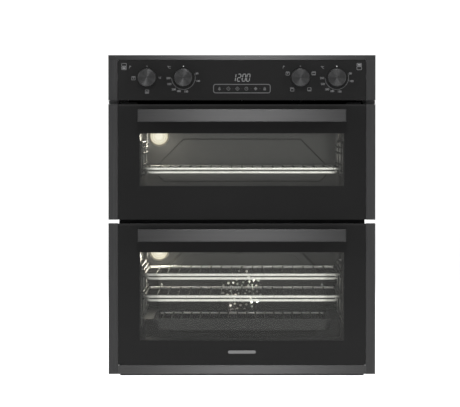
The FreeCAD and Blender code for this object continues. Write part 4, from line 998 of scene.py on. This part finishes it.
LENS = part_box("lamp_lenses")
LAMP_X = (LENS[0].x + LENS[1].x) / 2 * 1000
UP_BACK, LO_BACK = 200.0, 205.0
UP_LAMP_Z, LO_LAMP_Z = LENS[1].z * 1000 - 23.6, LENS[0].z * 1000 + 23.6
l1 = lens("upper_lamp_lens", LAMP_X, UP_BACK, UP_LAMP_Z)
l2 = lens("lower_lamp_lens", LAMP_X, LO_BACK, LO_LAMP_Z)
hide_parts("lamp_lenses")


# ------------------------------------------------------------------ door gaskets: braided cord round each mouth
def gasket(name, half, z0, z1, y, r0, corner):
    """Braided tube along a rounded rectangle; two sets of strands cross over its surface."""
    path = []
    steps = 8
    for cx, cz, a0 in ((half - corner, z1 - corner, 0), (-half + corner, z1 - corner, 90),
                       (-half + corner, z0 + corner, 180), (half - corner, z0 + corner, 270)):
        for k in range(steps + 1):
            a = math.radians(a0 + 90 * k / steps)
            path.append(Vector((cx + corner * math.cos(a), cz + corner * math.sin(a))))
    pts = []
    n = len(path)
    step = 1.6
    carry = 0.0
    for i in range(n):
        p, q = path[i], path[(i + 1) % n]
        length = (q - p).length
        m = max(1, int(round(length / step)))
        for k in range(m):
            pts.append(p + (q - p) * (k / m))
    n = len(pts)
    around = 16
    v, f = [], []
    s = 0.0
    total = sum((pts[(i + 1) % n] - pts[i]).length for i in range(n))
    turns = round(total / 7.0)
    for i in range(n):
        d = (pts[(i + 1) % n] - pts[i - 1]).normalized()
        nrm = Vector((d.y, -d.x))
        for k in range(around):
            a = 2 * math.pi * k / around
            ph = 2 * math.pi * turns * s / total
            w = max(abs(math.sin(2 * a + ph)), abs(math.sin(2 * a - ph)))
            r = r0 - 0.34 + 0.34 * w
            out = nrm * (r * math.cos(a))
            v.append(((pts[i].x + out.x) * MM, (y + r * math.sin(a)) * MM, (pts[i].y + out.y) * MM))
        s += (pts[(i + 1) % n] - pts[i]).length
    for i in range(n):
        j = (i + 1) % n
        for k in range(around):
            m = (k + 1) % around
            f.append([i * around + k, j * around + k, j * around + m, i * around + m])
    return piece(name, v, f, M["knit"], "chassis", True)


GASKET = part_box("door_gaskets")
gy = (GASKET[0].y + GASKET[1].y) / 2 * 1000
g1 = gasket("lower_door_gasket", 240.0, 43.0, 312.0, gy, 2.78, 16)
g2 = gasket("upper_door_gasket", 240.0, 384.0, 580.0, gy, 2.78, 16)
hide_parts("door_gaskets")


# ------------------------------------------------------------------ insulation: a lumpy fibre jacket
def jacket():
    src = NODES["oven_insulation"]
    me = src.data.copy()
    ob = bpy.data.objects.new("insulation_jacket", me)
    SCENE.collection.objects.link(ob)
    rm = ob.modifiers.new("remesh", "REMESH")
    rm.mode = "VOXEL"
    rm.voxel_size = 0.0065
    tex = bpy.data.textures.new("lumps", "CLOUDS")
    tex.noise_scale = 0.03
    dp = ob.modifiers.new("lumps", "DISPLACE")
    dp.texture = tex
    dp.strength = 0.0035
    dp.mid_level = 1.0
    bpy.context.view_layer.update()
    done = bpy.data.meshes.new_from_object(ob.evaluated_get(bpy.context.evaluated_depsgraph_get()))
    ob.modifiers.clear()
    ob.data = done
    done.materials.clear()
    done.materials.append(M["wool"])
    for p in done.polygons:
        p.use_smooth = True
    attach(ob, "chassis")
    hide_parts("oven_insulation")


jacket()


# ------------------------------------------------------------------ screws
def screws(name, spots, body, mat, r=3.8, h=2.2, axis=(0, 1, 0)):
    """Domed cross-head screws. Spots are the centres of their seats, in mm; the axis points out of the seat."""
    ax = Vector(axis).normalized()
    side = Vector((1, 0, 0)) if abs(ax.x) < 0.9 else Vector((0, 0, 1))
    up = ax.cross(side)
    prof = [(r, 0.0), (r, h * 0.35), (r * 0.88, h * 0.7), (r * 0.62, h * 0.93), (r * 0.36, h)]
    n = 24
    v, f = [], []
    for sp in spots:
        c = Vector(sp)
        k0 = len(v)
        for rr, hh in prof:
            for k in range(n):
                a = 2 * math.pi * k / n
                v.append((c + side * (rr * math.cos(a)) + up * (rr * math.sin(a)) + ax * hh) * MM)
        # the recess: a cross made by pushing alternate points of the next ring down
        for rr, depth in ((r * 0.34, 0.1), (r * 0.30, h * 0.62)):
            for k in range(n):
                a = 2 * math.pi * k / n
                q = abs(math.cos(2 * a)) ** 3
                rad = rr * (0.38 + 0.62 * q)
                v.append((c + side * (rad * math.cos(a)) + up * (rad * math.sin(a)) + ax * (h - depth)) * MM)
        m = len(prof) + 2
        for i in range(m - 1):
            for k in range(n):
                j = (k + 1) % n
                f.append([k0 + i * n + k, k0 + i * n + j, k0 + (i + 1) * n + j, k0 + (i + 1) * n + k])
        f.append([k0 + (m - 1) * n + k for k in range(n)])
        f.append([k0 + k for k in reversed(range(n))])
    return piece(name, v, f, mat, body)


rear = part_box("rear_panel")[1].y * 1000
spots = [(x, rear - 0.02, z) for x in (-266, 266) for z in (40, 200, 360, 520, 680)]
spots += [(x, rear - 0.02, 690) for x in (-140, 0, 140)] + [(x, rear - 0.02, 12) for x in (-140, 0, 140)]
screws("rear_panel_screws", spots, "chassis", M["screw"], axis=(0, 1, 0))
spots = [(x, 266.18, z) for x in (-157, 157) for z in (80, 180, 280)]
screws("fan_cover_box_screws", spots, "chassis", M["screw"], axis=(0, 1, 0))
for sx in (-1, 1):
    spots = [(sx * 274.0, y, z) for y in (-190, 240) for z in (40, 340, 560, 685)]
    screws("side_screws_%s" % ("left" if sx < 0 else "right"), spots, "chassis", M["screw"], axis=(sx, 0, 0))
spots = [(x, y, 701.5) for x in (-262, 262) for y in (-185, 30, 250)]
screws("top_screws", spots, "chassis", M["screw"], axis=(0, 0, 1))
spots = [(x, 165.0, z) for x in (-190, 190) for z in (110, 180)]
screws("fan_cover_screws", spots, "chassis", M["screw"], 3.2, 1.6, axis=(0, -1, 0))
spots = [(x, -222.0, z) for x in (-266, 266) for z in (60, 180, 300, 410, 540)]
screws("front_frame_screws", spots, "chassis", M["screw"], 3.4, 1.5, axis=(0, -1, 0))


# ------------------------------------------------------------------ stage, lights, camera
def slab(name, x0, x1, y0, y1, z0, z1, r, mat):
    """A slab with rounded upright edges."""
    n = 8
    outline = []
    for cx, cy, a0 in ((x1 - r, y1 - r, 0), (x0 + r, y1 - r, 90), (x0 + r, y0 + r, 180), (x1 - r, y0 + r, 270)):
        for k in range(n + 1):
            a = math.radians(a0 + 90 * k / n)
            outline.append((cx + r * math.cos(a), cy + r * math.sin(a)))
    v, f = [], []
    m = len(outline)
    for z in (z0, z1):
        v += [(p[0], p[1], z) for p in outline]
    f.append(list(reversed(range(m))))
    f.append([m + i for i in range(m)])
    for i in range(m):
        j = (i + 1) % m
        f.append([i, j, m + j, m + i])
    me = bpy.data.meshes.new(name)
    me.from_pydata(v, [], f)
    me.materials.append(mat)
    ob = bpy.data.objects.new(name, me)
    SCENE.collection.objects.link(ob)
    return ob


FLOOR_Z = -0.075
me = bpy.data.meshes.new("studio_floor")
v, f = [], []
# floor that curves up into a wall far behind
prof = [(-14.0, 0.0), (16.0, 0.0)]
for k in range(1, 13):
    a = math.radians(90 * k / 12)
    prof.append((16.0 + 2.5 * math.sin(a), 2.5 - 2.5 * math.cos(a)))
prof.append((18.5, 9.0))
for x in (-14.0, 14.0):
    v += [(x, p[0], FLOOR_Z + p[1]) for p in prof]
m = len(prof)
f = [[i, m + i, m + i + 1, i + 1] for i in range(m - 1)]
me.from_pydata(v, [], f)
me.materials.append(M["floor"])
floor = bpy.data.objects.new("studio_floor", me)
SCENE.collection.objects.link(floor)
slab("display_plinth", -0.235, 0.235, -0.17, 0.25, FLOOR_Z, -0.0001, 0.03, M["floor"])


def area(name, loc, target, sx, sy, power, colour=(1, 1, 1), camera=False):
    li = bpy.data.lights.new(name, "AREA")
    li.shape = "RECTANGLE"
    li.size, li.size_y = sx, sy
    li.energy = power
    li.color = colour
    ob = bpy.data.objects.new(name, li)
    SCENE.collection.objects.link(ob)
    ob.location = loc
    d = Vector(target) - Vector(loc)
    ob.rotation_euler = d.to_track_quat("-Z", "Y").to_euler()
    ob.visible_camera = camera
    return ob


area("overhead_key", (0.015, -2.9, 2.25), (0, -0.2, 0.40), 0.35, 1.0, 48.0)
area("left_softbox", (-3.2, -2.2, 1.6), (0, 0, 0.4), 1.6, 2.4, 60.0)
area("right_softbox", (3.2, -2.2, 1.6), (0, 0, 0.4), 1.6, 2.4, 60.0)
area("back_softbox", (0.5, 3.4, 2.6), (0, 0, 0.4), 2.6, 1.6, 70.0)

WARM = (1.0, 0.93, 0.82)


def point(name, loc, power, colour, radius):
    li = bpy.data.lights.new(name, "POINT")
    li.energy = power
    li.color = colour
    li.shadow_soft_size = radius
    ob = bpy.data.objects.new(name, li)
    SCENE.collection.objects.link(ob)
    ob.location = loc
    ob.visible_camera = False
    return ob


point("upper_lamp_light", (LAMP_X * MM, (UP_BACK - 80) * MM, (UP_LAMP_Z - 6) * MM), 0.22, WARM, 0.014)
point("lower_lamp_light", (LAMP_X * MM, (LO_BACK - 80) * MM, (LO_LAMP_Z - 6) * MM), 0.34, WARM, 0.014)
# even light from just inside each door's window, as a photographer's panel gives it
area("upper_cavity_fill", (0, -0.2262, 0.483), (0, 0.2, 0.483), 0.43, 0.115, 0.28, (1, 0.99, 0.965))
area("lower_cavity_fill", (0, -0.2262, 0.172), (0, 0.2, 0.172), 0.43, 0.215, 0.42, (1, 0.99, 0.965))
# narrow lights under each oven's roof for the bars along the back
area("upper_back_fill", (0, 0.06, 0.565), (0, 0.165, 0.465), 0.42, 0.015, 0.03, (1, 0.99, 0.965))
area("lower_back_fill", (0, 0.03, 0.300), (0, 0.165, 0.170), 0.42, 0.015, 0.24, (1, 0.99, 0.965))
for k in range(4):
    a = math.radians(45 + 90 * k)
    point("fan_space_light_%d" % k, (0.044 * math.cos(a), 0.1712, 0.1677 + 0.044 * math.sin(a)), 0.14, (1, 0.96, 0.89), 0.006)

world = bpy.data.worlds.new("studio")
SCENE.world = world
world.use_nodes = True
bg = world.node_tree.nodes["Background"]
bg.inputs["Color"].default_value = (1, 1, 1, 1)
bg.inputs["Strength"].default_value = 0.45

cam = bpy.data.cameras.new("camera")
cam.lens = 228.7
cam.sensor_width = 36.0
cam.shift_x = -0.0259
cam.clip_end = 60.0
co = bpy.data.objects.new("camera", cam)
SCENE.collection.objects.link(co)
co.location = (0.0, -6.762, 0.5666)
d = Vector((0, -0.262, 0.3851)) - Vector(co.location)
co.rotation_euler = d.to_track_quat("-Z", "Y").to_euler()
SCENE.camera = co
SCENE.view_settings.view_transform = "Standard"
